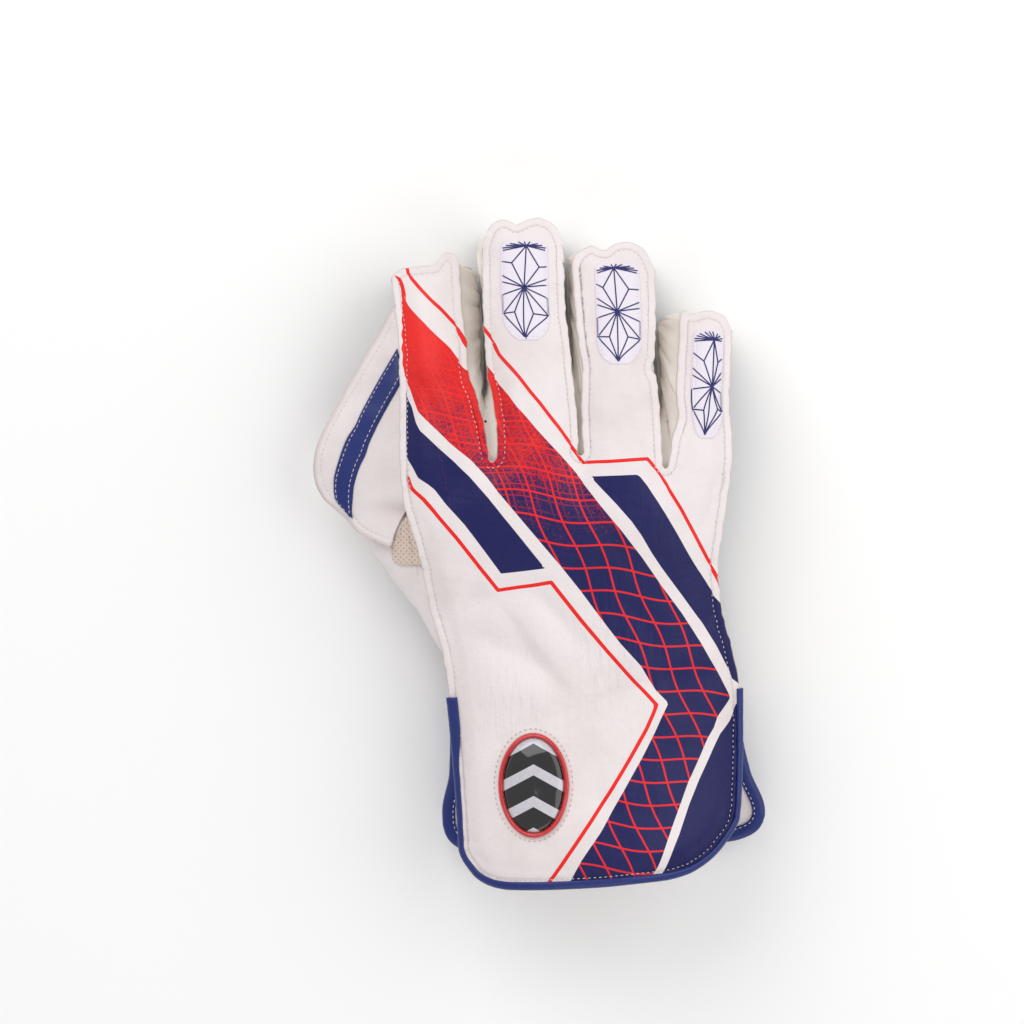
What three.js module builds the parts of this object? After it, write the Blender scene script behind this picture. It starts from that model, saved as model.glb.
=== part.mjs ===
import * as THREE from 'three';

// Wicketkeeping glove for the right hand, lying palm down: +X to the little finger, +Y to the fingertips.
// The panels are worked out from the knuckle line at y = 0 and the hand's centreline at x = 0.

// Driving dimensions in millimetres
const HALF_WIDTH = 78.5;
const HAND_LENGTH = 203.5;
const FINGER_LENGTH = 114.5;
const PALM_LENGTH = 190;
const KNUCKLE_HEIGHT = 77;
const PALM_HOLLOW = 34;
const TIP_HEIGHT = 37;
const TIP_DEPTH = 14.4;
const BACK_LEATHER = 2.4;
const PALM_LEATHER = 2.6;
const WALL_LEATHER = 1.8;
const TRIM_LEATHER = 1.1;
const SEAM_ALLOWANCE = 3.4;
const CLEARANCE = 0.35;
const FINGER_CROWN = 2.2;
const BINDING_WIDTH = 3.8;
const THUMB_LENGTH = 89;
const THUMB_HALF_WIDTH = 14.4;
const THUMB_HEIGHT = 33;
const WEB_WIDTH = 43;
const WEB_LEATHER = 1.6;
const WEB_STRIPE_INSET = 9.4;
const WEB_STRIPE_WIDTH = 8.4;
const PATCH_WIDTH = 23;
const BADGE_WIDTH = 33;
const BADGE_LENGTH = 49;
const BADGE_RIM = 2.4;
const BADGE_HEIGHT = 2.2;

const ALONG_FINGER = 10;
const ALONG_HAND = 16;
const FINGER_COLUMNS = 7;
const FINGER_COUNT = 4;
const LAST_COLUMN = FINGER_COUNT * FINGER_COLUMNS - 1;
const WALL_GAP = CLEARANCE + 0.25;

// Finger backs. length is a share of the longest finger's, along a share of this finger's length from the
// knuckle line, left and right are shares of the half width, tip gives each column's setback as a share of
// the tip depth.
const BACK_FINGERS = [
  {
    length: 0.868,
    tip: [1.03, 0.67, 0.5, 0.47, 0.4, 0.07, 0.47],
    rows: [
      { along: 0, left: -1.009, right: -0.471 },
      { along: 0.12, left: -1.009, right: -0.495 },
      { along: 0.31, left: -1.009, right: -0.557 },
      { along: 0.43, left: -1.012, right: -0.606 },
      { along: 0.55, left: -1.015, right: -0.612 },
      { along: 0.74, left: -1.034, right: -0.642 },
      { along: 1, left: -1.067, right: -0.661 },
    ],
  },
  {
    length: 1,
    tip: [1, 0.33, 0.03, 0.25, 0, 0.4, 1],
    rows: [
      { along: 0, left: -0.422, right: 0.064 },
      { along: 0.07, left: -0.416, right: 0.067 },
      { along: 0.235, left: -0.44, right: 0.049 },
      { along: 0.36, left: -0.477, right: 0.031 },
      { along: 0.47, left: -0.489, right: 0.018 },
      { along: 0.7, left: -0.505, right: -0.012 },
      { along: 1, left: -0.508, right: -0.018 },
    ],
  },
  {
    length: 0.916,
    tip: [0.83, 0.3, 0.13, 0.3, 0, 0.43, 1],
    rows: [
      { along: 0, left: 0.107, right: 0.578 },
      { along: 0.225, left: 0.098, right: 0.563 },
      { along: 0.4, left: 0.104, right: 0.544 },
      { along: 0.45, left: 0.1, right: 0.516 },
      { along: 0.52, left: 0.084, right: 0.534 },
      { along: 0.775, left: 0.058, right: 0.544 },
      { along: 1, left: 0.043, right: 0.541 },
    ],
  },
  {
    length: 0.65,
    tip: [0.17, 0.07, 0.03, 0.07, 0.07, 0.33, 0.7],
    rows: [
      { along: 0, left: 0.621, right: 1.003 },
      { along: 0.17, left: 0.648, right: 1.003 },
      { along: 0.33, left: 0.688, right: 0.991 },
      { along: 0.43, left: 0.676, right: 0.988 },
      { along: 0.62, left: 0.685, right: 0.997 },
      { along: 0.87, left: 0.703, right: 1.009 },
      { along: 1, left: 0.709, right: 1.015 },
    ],
  },
];

// Finger fronts, wider than the backs. short is how far the palm tip stays behind the back tip,
// as a share of the tip depth.
const PALM_FINGERS = [
  {
    short: 0.35,
    tip: [0.9, 0.3, 0.05, 0.12, 0.05, 0.3, 0.9],
    rows: [
      { along: 0, left: -1.021, right: -0.504 },
      { along: 0.46, left: -1.034, right: -0.508 },
      { along: 1, left: -1.052, right: -0.53 },
    ],
  },
  {
    short: 0.25,
    tip: [0.9, 0.3, 0.05, 0.12, 0.05, 0.3, 0.9],
    rows: [
      { along: 0, left: -0.486, right: 0.009 },
      { along: 0.54, left: -0.494, right: -0.003 },
      { along: 0.8, left: -0.534, right: -0.015 },
      { along: 1, left: -0.55, right: -0.031 },
    ],
  },
  {
    short: 0.2,
    tip: [0.9, 0.3, 0.05, 0.12, 0.05, 0.3, 0.9],
    rows: [
      { along: 0, left: 0.027, right: 0.552 },
      { along: 0.5, left: 0.012, right: 0.535 },
      { along: 1, left: 0.006, right: 0.524 },
    ],
  },
  {
    short: 0.05,
    tip: [0.7, 0.25, 0.05, 0.12, 0.05, 0.3, 0.9],
    rows: [
      { along: 0, left: 0.571, right: 0.997 },
      { along: 0.5, left: 0.561, right: 1.003 },
      { along: 1, left: 0.549, right: 0.997 },
    ],
  },
];

// Hand and back cuff flap. along is a share of the hand length from the knuckle line to the flap's edge,
// left and right are shares of the half width, ridge and arch are shares of the knuckle height.
const BACK_HAND = [
  { along: 0, left: -1.009, right: 1.003, ridge: 1, arch: 0.13 },
  { along: 0.1, left: -0.985, right: 0.972, ridge: 1, arch: 0.14 },
  { along: 0.18, left: -0.924, right: 0.942, ridge: 0.985, arch: 0.15 },
  { along: 0.25, left: -0.875, right: 0.92, ridge: 0.96, arch: 0.16 },
  { along: 0.35, left: -0.826, right: 0.942, ridge: 0.92, arch: 0.17 },
  { along: 0.45, left: -0.752, right: 1.009, ridge: 0.89, arch: 0.18 },
  { along: 0.55, left: -0.709, right: 1.055, ridge: 0.88, arch: 0.2 },
  { along: 0.66, left: -0.679, right: 1.055, ridge: 0.91, arch: 0.24 },
  { along: 0.8, left: -0.648, right: 1.045, ridge: 0.96, arch: 0.29 },
  { along: 0.92, left: -0.63, right: 1.0, ridge: 1, arch: 0.32 },
  { along: 1, left: -0.62, right: 0.94, ridge: 1.01, arch: 0.33 },
];

// Palm side. along is a share of the palm length from the knuckle line, negative up the fingers;
// ridge and arch are shares of the palm hollow, and a negative arch lifts the edges.
const PALM_HAND = [
  { along: -0.25, left: -1.021, right: 0.997, ridge: 0.98, arch: 0.2 },
  { along: 0, left: -1.009, right: 0.997, ridge: 0.9, arch: 0.1 },
  { along: 0.14, left: -0.95, right: 0.966, ridge: 0.66, arch: 0.03 },
  { along: 0.27, left: -0.87, right: 0.924, ridge: 0.46, arch: -0.05 },
  { along: 0.38, left: -0.826, right: 0.945, ridge: 0.34, arch: -0.1 },
  { along: 0.48, left: -0.752, right: 1.009, ridge: 0.22, arch: -0.16 },
  { along: 0.6, left: -0.709, right: 1.06, ridge: 0.1, arch: -0.24 },
  { along: 0.7, left: -0.685, right: 1.07, ridge: 0, arch: -0.3 },
  { along: 0.8, left: -0.69, right: 1.12, ridge: 0, arch: -0.34 },
  { along: 0.9, left: -0.734, right: 1.21, ridge: 0, arch: -0.34 },
  { along: 0.96, left: -0.725, right: 1.2, ridge: 0, arch: -0.34 },
  { along: 1, left: -0.69, right: 1.13, ridge: 0, arch: -0.34 },
];

// Where the panels end between the fingers, in shares of the hand length: outer edge, three crotches, outer edge.
const BACK_CROTCHES = [0, 0, 0.014, -0.016, -0.016];
const PALM_CROTCHES = [0.14, 0.167, 0.245, 0.134, 0.092];

// Setback of the cuff flaps' lower edges, by share of the width, as a share of the hand length.
const BACK_HEM = [
  { across: 0, setback: 0.075 },
  { across: 0.02, setback: 0.048 },
  { across: 0.06, setback: 0.015 },
  { across: 0.13, setback: 0 },
  { across: 0.5, setback: 0.008 },
  { across: 0.72, setback: 0.018 },
  { across: 0.86, setback: 0.035 },
  { across: 0.95, setback: 0.08 },
  { across: 1, setback: 0.13 },
];
const PALM_HEM = [
  { across: 0, setback: 0.06 },
  { across: 0.03, setback: 0.025 },
  { across: 0.08, setback: 0.005 },
  { across: 0.5, setback: 0.01 },
  { across: 0.88, setback: 0.03 },
  { across: 0.96, setback: 0.05 },
  { across: 1, setback: 0.085 },
];

// Soft folds pressed into the back: centre and half sizes in shares of the half width and hand length,
// turn in degrees, depth as a share of the finger crown.
const FOLDS = [
  { x: -0.3, y: 0.46, half_length: 0.34, half_width: 0.1, turn: -28, depth: 1.3 },
  { x: -0.08, y: 0.36, half_length: 0.3, half_width: 0.08, turn: -48, depth: 1 },
  { x: -0.5, y: 0.33, half_length: 0.22, half_width: 0.08, turn: 20, depth: 0.9 },
  { x: 0.5, y: 0.53, half_length: 0.4, half_width: 0.1, turn: 8, depth: 1 },
];

// Thumb stall rings between the mouth and the tube, each given by its two ends beside the hand:
// x in shares of the half width, y of the hand length; level and rise are shares of the thumb height.
const THUMB_RINGS = [
  { upper_x: -0.95, upper_y: -0.15, lower_x: -0.775, lower_y: -0.44, level: 1.22, rise: 0.45 },
  { upper_x: -0.965, upper_y: -0.136, lower_x: -0.905, lower_y: -0.356, level: 1.12, rise: 0.41 },
  { upper_x: -0.975, upper_y: -0.116, lower_x: -1.028, lower_y: -0.297, level: 0.87, rise: 0.485 },
  { upper_x: -0.99, upper_y: -0.085, lower_x: -1.12, lower_y: -0.25, level: 0.71, rise: 0.485 },
];

// Thumb tube from its root to the tip: along is a share of the thumb length, half of the half width,
// level and rise of the thumb height.
const THUMB_TUBE = [
  { along: 0.6, half: 1, level: 0.6, rise: 0.48 },
  { along: 0.73, half: 1, level: 0.54, rise: 0.47 },
  { along: 0.84, half: 0.97, level: 0.5, rise: 0.45 },
  { along: 0.92, half: 0.82, level: 0.48, rise: 0.39 },
  { along: 0.97, half: 0.52, level: 0.47, rise: 0.27 },
];
const THUMB_TIP_LEVEL = 0.46;

// The thumb's axis: its root in shares of the half width and hand length, its turn outwards in degrees.
const THUMB_ROOT = { x: -0.771, y: -0.309, turn: 35.2 };

// The thumb stall's mouth, in shares of each panel's hand part, and the panel column that it lies on.
const MOUTH = { back_from: 0.138, back_to: 0.53, palm_from: 0.265, palm_to: 0.64, column: 1.4 };

// Web rows from the index tip to the fork. x is a share of the web width outwards from the index side,
// y a share of the hand length. Rows without an inner_x start on the index side wall.
const WEB_ROWS = [
  { inner_y: 0.375, out_x: 0.1, out_y: 0.366, droop: 0.1 },
  { inner_y: 0.328, out_x: 0.28, out_y: 0.297, droop: 0.25 },
  { inner_y: 0.269, out_x: 0.506, out_y: 0.215, droop: 0.45 },
  { inner_y: 0.21, out_x: 0.73, out_y: 0.134, droop: 0.7 },
  { inner_y: 0.139, out_x: 0.93, out_y: 0.052, droop: 0.9 },
  { inner_y: 0.068, out_x: 1, out_y: -0.007, droop: 1 },
  { inner_y: -0.002, out_x: 0.98, out_y: -0.054, droop: 1 },
  { inner_y: -0.061, out_x: 0.89, out_y: -0.092, droop: 0.95 },
  { inner_y: -0.106, out_x: 0.755, out_y: -0.116, droop: 0.85 },
  { inner_x: 0.03, inner_y: -0.148, out_x: 0.618, out_y: -0.144, droop: 0.7 },
  { inner_x: 0.09, inner_y: -0.177, out_x: 0.495, out_y: -0.173, droop: 0.6 },
  { inner_x: 0.14, inner_y: -0.21, out_x: 0.3, out_y: -0.195, droop: 0.45 },
];
const WEB_LEVEL = 0.42;
const WEB_DROOP = { share: 0.7, power: 1.3 };

// Patches on the finger backs: across and from/to are shares of the finger's width and length.
const PATCHES = [
  { name: 'middle', finger: 1, across: 0.51, from: 0.479, to: 0.905, width: 1 },
  { name: 'ring', finger: 2, across: 0.53, from: 0.43, to: 0.9, width: 0.95 },
  { name: 'little', finger: 3, across: 0.56, from: 0.17, to: 0.875, width: 0.66 },
];
const BADGE_PLACE = { x: -0.2, y: -0.764 };

const COLOURS = {
  leather: { color: 0xece5e5, roughness: 0.55 },
  palm: { color: 0x2e3a74, roughness: 0.7 },
  trim: { color: 0x303c76, roughness: 0.4 },
  gusset: { color: 0xc8b9ad, roughness: 0.8 },
  patch: { color: 0xece8f2, roughness: 0.75 },
  rim: { color: 0xc8232a, roughness: 0.2 },
  face: { color: 0x1c1a1c, roughness: 0.12 },
};

const DEGREE = Math.PI / 180;

// How the back and the palm level out: the power of the back's arch across the hand, the palm's flat share,
// the share of the hand over which the fingers' crowns fade, and the share over which their columns spread.
const ARCH_POWER = 2.2;
const PALM_FLAT = 0.35;
const CROWN_FADE = 0.22;
const COLUMN_SPREAD = 0.12;

// Pieces laid on a curved face stand off it by more than the clearance, so that their flat facets clear it.
const SEAT_GAP = CLEARANCE * 1.3;
const GUSSET_GAP = CLEARANCE * 1.8;
const WEB_GAP = CLEARANCE * 3;

function vector(x, y, z) {
  return new THREE.Vector3(x, y, z);
}

function mix(a, b, t) {
  return a + (b - a) * t;
}

function smooth(t) {
  const s = Math.min(1, Math.max(0, t));
  return s * s * (3 - 2 * s);
}

// Value of a table column at a place, by a cubic through neighbouring rows with limited slopes.
function along(table, key, column, at) {
  const last = table.length - 1;
  if (at <= table[0][key]) return table[0][column];
  if (at >= table[last][key]) return table[last][column];
  let k = 0;
  while (at > table[k + 1][key]) k += 1;
  const step = (i) => table[i + 1][key] - table[i][key];
  const slope = (i) => (table[i + 1][column] - table[i][column]) / step(i);
  const tangent = (i) => {
    if (i === 0 || i === last) return slope(Math.min(i, last - 1));
    const before = slope(i - 1);
    const after = slope(i);
    return before * after <= 0 ? 0 : (2 * before * after) / (before + after);
  };
  const h = step(k);
  const t = (at - table[k][key]) / h;
  const a = table[k][column];
  const b = table[k + 1][column];
  const curve = (2 * t ** 3 - 3 * t ** 2 + 1) * a + (3 * t ** 2 - 2 * t ** 3) * b;
  return curve + h * ((t ** 3 - 2 * t ** 2 + t) * tangent(k) + (t ** 3 - t ** 2) * tangent(k + 1));
}

// Places across a finger of a given width: the edges, the two stitch lines and three between them.
function columnShare(j, width) {
  const seam = SEAM_ALLOWANCE / width;
  if (j === 0) return 0;
  if (j === FINGER_COLUMNS - 1) return 1;
  return mix(seam, 1 - seam, (j - 1) / (FINGER_COLUMNS - 3));
}

function foldDepth(x, y) {
  let depth = 0;
  for (const fold of FOLDS) {
    const dx = x / HALF_WIDTH - fold.x;
    const dy = (y / HAND_LENGTH + fold.y) * (HAND_LENGTH / HALF_WIDTH);
    const turn = fold.turn * DEGREE;
    const u = (dx * Math.cos(turn) + dy * Math.sin(turn)) / fold.half_length;
    const v = (dy * Math.cos(turn) - dx * Math.sin(turn)) / fold.half_width;
    depth += fold.depth * FINGER_CROWN * Math.exp(-u * u - v * v);
  }
  return depth;
}

// Both panels are one kind of surface: a hand with four fingers, worked out from its tables.
const BACK = {
  fingers: BACK_FINGERS,
  hand: BACK_HAND,
  crotches: BACK_CROTCHES,
  hem: BACK_HEM,
  hand_length: HAND_LENGTH,
  height: KNUCKLE_HEIGHT - BACK_LEATHER / 2,
  floor: 0,
  tip_height: TIP_HEIGHT - BACK_LEATHER / 2,
  bend: 1.65,
  crown: FINGER_CROWN,
  leather: BACK_LEATHER,
  folded: true,
};
const PALM = {
  fingers: PALM_FINGERS,
  hand: PALM_HAND,
  crotches: PALM_CROTCHES,
  hem: PALM_HEM,
  hand_length: PALM_LENGTH,
  height: PALM_HOLLOW,
  floor: PALM_LEATHER / 2 + CLEARANCE + TRIM_LEATHER,
  tip_height: PALM_LEATHER / 2,
  bend: 1.35,
  crown: -FINGER_CROWN / 2,
  leather: PALM_LEATHER,
  folded: false,
};

function fingerLength(finger) {
  return FINGER_LENGTH * BACK_FINGERS[finger].length;
}

function fingerEdges(panel, finger, share) {
  const rows = panel.fingers[finger].rows;
  return {
    left: HALF_WIDTH * along(rows, 'along', 'left', share),
    right: HALF_WIDTH * along(rows, 'along', 'right', share),
  };
}

function handEdges(panel, y) {
  const share = -y / panel.hand_length;
  return {
    left: HALF_WIDTH * along(panel.hand, 'along', 'left', share),
    right: HALF_WIDTH * along(panel.hand, 'along', 'right', share),
  };
}

function crotchY(panel, finger, q) {
  return HAND_LENGTH * mix(panel.crotches[finger], panel.crotches[finger + 1], q);
}

// Height of the hand part at a place: ridge along the hand, arch across it, low crowns under the fingers.
function handHeight(panel, x, y, crownShare) {
  const share = -y / panel.hand_length;
  const edges = handEdges(panel, y);
  const across = (2 * (x - edges.left)) / (edges.right - edges.left) - 1;
  const arch = along(panel.hand, 'along', 'arch', share);
  const ridge = along(panel.hand, 'along', 'ridge', share);
  const off = Math.abs(across);
  const flat = panel.folded ? off ** ARCH_POWER : smooth((off - PALM_FLAT) / (1 - PALM_FLAT));
  const crown = panel.crown * crownShare * (1 - smooth(share / CROWN_FADE));
  const fold = panel.folded ? foldDepth(x, y) : 0;
  return panel.floor + panel.height * (ridge - arch * flat) - crown - fold;
}

// Share of the width that a column keeps down the hand, taken at the knuckle line.
function knucklePlace(panel, column) {
  const finger = Math.floor(column / FINGER_COLUMNS);
  const j = column % FINGER_COLUMNS;
  const base = fingerEdges(panel, finger, 0);
  const q = columnShare(j, base.right - base.left);
  const first = fingerEdges(panel, 0, 0).left;
  const last = fingerEdges(panel, FINGER_COUNT - 1, 0).right;
  const x = mix(base.left, base.right, q);
  return { x, q, finger, across: (x - first) / (last - first), y: crotchY(panel, finger, q) };
}

function handPoint(panel, place, share) {
  const setback = HAND_LENGTH * along(panel.hem, 'across', 'setback', place.across);
  const y = mix(place.y, setback - panel.hand_length, share);
  const edges = handEdges(panel, y);
  const onEdge = share > 0 && (place.across <= 0 || place.across >= 1);
  let spread = mix(edges.left, edges.right, place.across);
  if (place.seam === -1) spread = edges.left + SEAM_ALLOWANCE;
  if (place.seam === 1) spread = edges.right - SEAM_ALLOWANCE;
  const x = mix(place.x, spread, onEdge ? 1 : smooth(share / COLUMN_SPREAD));
  return vector(x, y, handHeight(panel, x, y, (2 * place.q - 1) ** 2));
}

function fingerPoint(panel, column, share) {
  const place = knucklePlace(panel, column);
  const j = column % FINGER_COLUMNS;
  const spec = panel.fingers[place.finger];
  const tipBase = HAND_LENGTH * mix(BACK_CROTCHES[place.finger], BACK_CROTCHES[place.finger + 1], 0.5);
  const tipY = tipBase + fingerLength(place.finger) - TIP_DEPTH * (spec.short ?? 0);
  const edges = fingerEdges(panel, place.finger, share);
  const q = columnShare(j, edges.right - edges.left);
  const x = mix(edges.left, edges.right, q);
  const y = mix(place.y, tipY, share) - TIP_DEPTH * spec.tip[j] * share ** 2;
  const base = handPoint(panel, place, 0).z;
  const crown = panel.crown * ((2 * q - 1) ** 2 - (2 * place.q - 1) ** 2 * (1 - share));
  const bent = Math.max(0, (y - place.y) / (tipY - place.y));
  const drop = (base - panel.tip_height) * bent ** panel.bend;
  return vector(x, y, base - drop - crown * share);
}

function handColumn(panel, c, shares) {
  const place = knucklePlace(panel, c);
  if (c === 1) place.seam = -1;
  if (c === LAST_COLUMN - 1) place.seam = 1;
  return shares.map((share) => handPoint(panel, place, share));
}

function fingerColumn(panel, c) {
  return Array.from({ length: ALONG_FINGER }, (_, i) => fingerPoint(panel, c, (i + 1) / ALONG_FINGER));
}

const COLUMNS = Array.from({ length: LAST_COLUMN + 1 }, (_, c) => c);

// Vertex grid of a panel: columns across, rows from the hem (0) over the knuckle line to the fingertips.
function panelGrid(panel, shares) {
  return COLUMNS.map((c) => [...handColumn(panel, c, shares), ...fingerColumn(panel, c)]);
}

// Faces of a grid of columns; keep says which cells exist.
function gridFaces(columns, keep = () => true) {
  const rows = columns[0].length;
  const faces = [];
  for (let c = 0; c < columns.length - 1; c += 1) {
    for (let i = 0; i < rows - 1; i += 1) {
      if (!keep(c, i)) continue;
      const a = c * rows + i;
      const b = a + rows;
      faces.push([a, b, b + 1, a + 1]);
    }
  }
  return { points: columns.flat(), faces };
}

function vertexNormals(points, faces) {
  const normals = points.map(() => vector(0, 0, 0));
  for (const face of faces) {
    const diagonal = points[face[2]].clone().sub(points[face[0]]);
    const other = points[face[face.length - 1]].clone().sub(points[face[1]]);
    const normal = diagonal.cross(other);
    for (const k of face) normals[k].add(normal);
  }
  return normals.map((n) => n.normalize());
}

function geometryFrom(points, faces) {
  const index = [];
  for (const face of faces) {
    for (let k = 1; k < face.length - 1; k += 1) index.push(face[0], face[k], face[k + 1]);
  }
  const geometry = new THREE.BufferGeometry();
  geometry.setAttribute('position', new THREE.Float32BufferAttribute(points.flatMap((p) => [p.x, p.y, p.z]), 3));
  geometry.setIndex(index);
  geometry.computeVertexNormals();
  return geometry;
}

// A closed slab between an upper and a lower copy of one surface, with a rim round its free edges.
function slab(upper, lower, faces) {
  const count = upper.length;
  const shell = [...upper, ...lower];
  const all = [];
  const edges = new Map();
  for (const face of faces) {
    all.push(face);
    all.push([face[0], ...face.slice(1).reverse()].map((k) => k + count));
    face.forEach((a, k) => {
      const b = face[(k + 1) % face.length];
      if (edges.has(`${b}_${a}`)) edges.delete(`${b}_${a}`);
      else edges.set(`${a}_${b}`, [a, b]);
    });
  }
  for (const [a, b] of edges.values()) all.push([b, a, a + count, b + count]);
  return geometryFrom(shell, all);
}

function moved(points, normals, distance) {
  return points.map((p, k) => p.clone().addScaledVector(normals[k], distance));
}

// A skin of even thickness: the surface moved along its normals to two distances.
function skin(surface, above, below, normals = vertexNormals(surface.points, surface.faces)) {
  return slab(moved(surface.points, normals, above), moved(surface.points, normals, -below), surface.faces);
}

// Height of a surface at a place seen from above, and how level it is there.
function heightOn(points, faces, x, y) {
  let best = { z: -Infinity, level: 1 };
  for (const face of faces) {
    for (let k = 1; k < face.length - 1; k += 1) {
      const [a, b, c] = [points[face[0]], points[face[k]], points[face[k + 1]]];
      const area = (b.x - a.x) * (c.y - a.y) - (c.x - a.x) * (b.y - a.y);
      const s = ((x - a.x) * (c.y - a.y) - (c.x - a.x) * (y - a.y)) / area;
      const t = ((b.x - a.x) * (y - a.y) - (x - a.x) * (b.y - a.y)) / area;
      if (!(s >= -1e-6 && t >= -1e-6 && s + t <= 1 + 1e-6)) continue;
      const z = a.z + s * (b.z - a.z) + t * (c.z - a.z);
      const normal = b.clone().sub(a).cross(c.clone().sub(a)).normalize();
      if (z > best.z) best = { z, level: Math.abs(normal.z) };
    }
  }
  return best;
}

// A place on a grid between its vertices, with the surface's normal there.
function onGrid(grid, normals, column, row) {
  const rows = grid[0].length;
  const c = Math.min(grid.length - 2, Math.max(0, Math.floor(column)));
  const i = Math.min(rows - 2, Math.max(0, Math.floor(row)));
  const s = column - c;
  const t = row - i;
  const blend = (pick) => {
    const low = pick(c, i).clone().lerp(pick(c + 1, i), s);
    const high = pick(c, i + 1).clone().lerp(pick(c + 1, i + 1), s);
    return low.lerp(high, t);
  };
  const point = blend((a, b) => grid[a][b]);
  const normal = blend((a, b) => normals[a * rows + b]).normalize();
  return { point, normal };
}

const BACK_SHARES = Array.from({ length: ALONG_HAND + 1 }, (_, i) => 1 - i / ALONG_HAND);
const WRIST_SHARE = 0.66;
const PALM_ROWS = 10;
const FLAP_ROWS = 6;
const seamShare = CLEARANCE / 2 / PALM_LENGTH;
const PALM_SHARES = Array.from(
  { length: PALM_ROWS + 1 },
  (_, i) => (WRIST_SHARE - seamShare) * (1 - i / PALM_ROWS),
);

const isFingerGap = (c, i, knuckleRow) => c % FINGER_COLUMNS === FINGER_COLUMNS - 1 && i >= knuckleRow;

function makePanel(panel, shares) {
  const grid = panelGrid(panel, shares);
  const knuckleRow = shares.length - 1;
  const surface = gridFaces(grid, (c, i) => !isFingerGap(c, i, knuckleRow));
  const normals = vertexNormals(surface.points, surface.faces);
  return { grid, surface, normals, knuckleRow, panel };
}

const back = makePanel(BACK, BACK_SHARES);
const palm = makePanel(PALM, PALM_SHARES);

function panelMesh(made) {
  const half = made.panel.leather / 2;
  return skin(made.surface, half, half, made.normals);
}

// Row of a panel's grid at a share of the hand, 0 at the knuckle line.
function handRow(made, share) {
  const reach = made === back ? 1 : WRIST_SHARE;
  return made.knuckleRow * (1 - share / reach);
}

// A wall stands between the two panels on their stitch lines. Stations are pairs of grid places.
function wallFeet({ backAt, palmAt }) {
  const top = onGrid(back.grid, back.normals, backAt[0], backAt[1]);
  const foot = onGrid(palm.grid, palm.normals, palmAt[0], palmAt[1]);
  return {
    upper: top.point.clone().addScaledVector(top.normal, -BACK_LEATHER / 2 - WALL_GAP),
    lower: foot.point.clone().addScaledVector(foot.normal, PALM_LEATHER / 2 + WALL_GAP),
    facings: [foot.normal, top.normal],
  };
}

// The wall's rims lie along the panels that they meet: their normals are turned into the panels' planes.
function wallMesh(stations, levels = 3) {
  const feet = stations.map(wallFeet);
  const columns = feet.map(({ upper, lower }) => (
    Array.from({ length: levels + 1 }, (_, k) => lower.clone().lerp(upper, k / levels))
  ));
  const surface = gridFaces(columns);
  const normals = vertexNormals(surface.points, surface.faces);
  const rows = levels + 1;
  normals.forEach((n, k) => {
    const level = k % rows;
    if (level !== 0 && level !== levels) return;
    const facing = feet[Math.floor(k / rows)].facings[level === 0 ? 0 : 1];
    n.addScaledVector(facing, -n.dot(facing)).normalize();
  });
  return skin(surface, WALL_LEATHER / 2, WALL_LEATHER / 2, normals);
}

const TIP_CENTRE = (FINGER_COLUMNS - 1) / 2;
const TIP_SPLIT = 0.1;
const SEAM_COLUMN = { left: 1, right: FINGER_COLUMNS - 2 };

// Row of the stitch line across a fingertip; a palm finger is shorter.
const PALM_FINGER_SHARE = 0.75;

function tipRow(made, finger) {
  const length = fingerLength(finger) * (made === back ? 1 : PALM_FINGER_SHARE);
  return made.knuckleRow + ALONG_FINGER * (1 - SEAM_ALLOWANCE / length);
}

function tipStations(finger, side) {
  const offset = side === 'left' ? -1 : 1;
  const edge = SEAM_COLUMN[side];
  const places = [TIP_CENTRE + offset * TIP_SPLIT, TIP_CENTRE + offset, edge];
  return places.map((place) => {
    const column = finger * FINGER_COLUMNS + place;
    return { backAt: [column, tipRow(back, finger)], palmAt: [column, tipRow(palm, finger)] };
  });
}

function sideStations(finger, side, first, last) {
  const column = finger * FINGER_COLUMNS + SEAM_COLUMN[side];
  const stations = [];
  const step = first < last ? 1 : -1;
  for (let i = first; i !== last + step; i += step) {
    stations.push({ backAt: [column, back.knuckleRow + i], palmAt: [column, palm.knuckleRow + i] });
  }
  return stations;
}

// Between two fingers the wall runs down one, under the crotch and up the other. It leaves each stitch line
// by a share of a column and lies a little higher there than in the middle.
const CROTCH_TURN = { column: 0.85, height: 0.75 };

function crotchStations(finger) {
  const gap = finger * FINGER_COLUMNS + FINGER_COLUMNS - 1;
  const backDrop = SEAM_ALLOWANCE / (HAND_LENGTH / ALONG_HAND);
  const palmDrop = SEAM_ALLOWANCE / ((PALM_LENGTH * WRIST_SHARE) / PALM_ROWS);
  const station = (offset, height) => ({
    backAt: [gap + offset, back.knuckleRow - backDrop * height],
    palmAt: [gap + offset, palm.knuckleRow - palmDrop * height],
  });
  return [
    station(-CROTCH_TURN.column, CROTCH_TURN.height),
    station(0.5, 1),
    station(1 + CROTCH_TURN.column, CROTCH_TURN.height),
  ];
}

function fourchette(finger) {
  const next = finger + 1;
  return wallMesh([
    ...tipStations(finger, 'right'),
    ...sideStations(finger, 'right', ALONG_FINGER - 1, 0),
    ...crotchStations(finger),
    ...sideStations(next, 'left', 0, ALONG_FINGER - 1),
    ...tipStations(next, 'left').reverse(),
  ].reverse());
}

// Stations down the outer edge of the hand, from the knuckle line to a share of the hand on each panel.
function handStations(column, backEnd, palmEnd, count) {
  return Array.from({ length: count }, (_, k) => {
    const t = (k + 1) / count;
    return {
      backAt: [column, handRow(back, backEnd * t)],
      palmAt: [column, handRow(palm, palmEnd * t)],
    };
  });
}

// How far the outer walls reach down the hand, as shares of each panel's hand part.
const INDEX_WALL_END = { back: 0.128, palm: 0.252 };
const LITTLE_WALL_END = { back: 0.535, palm: 0.655 };

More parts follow.
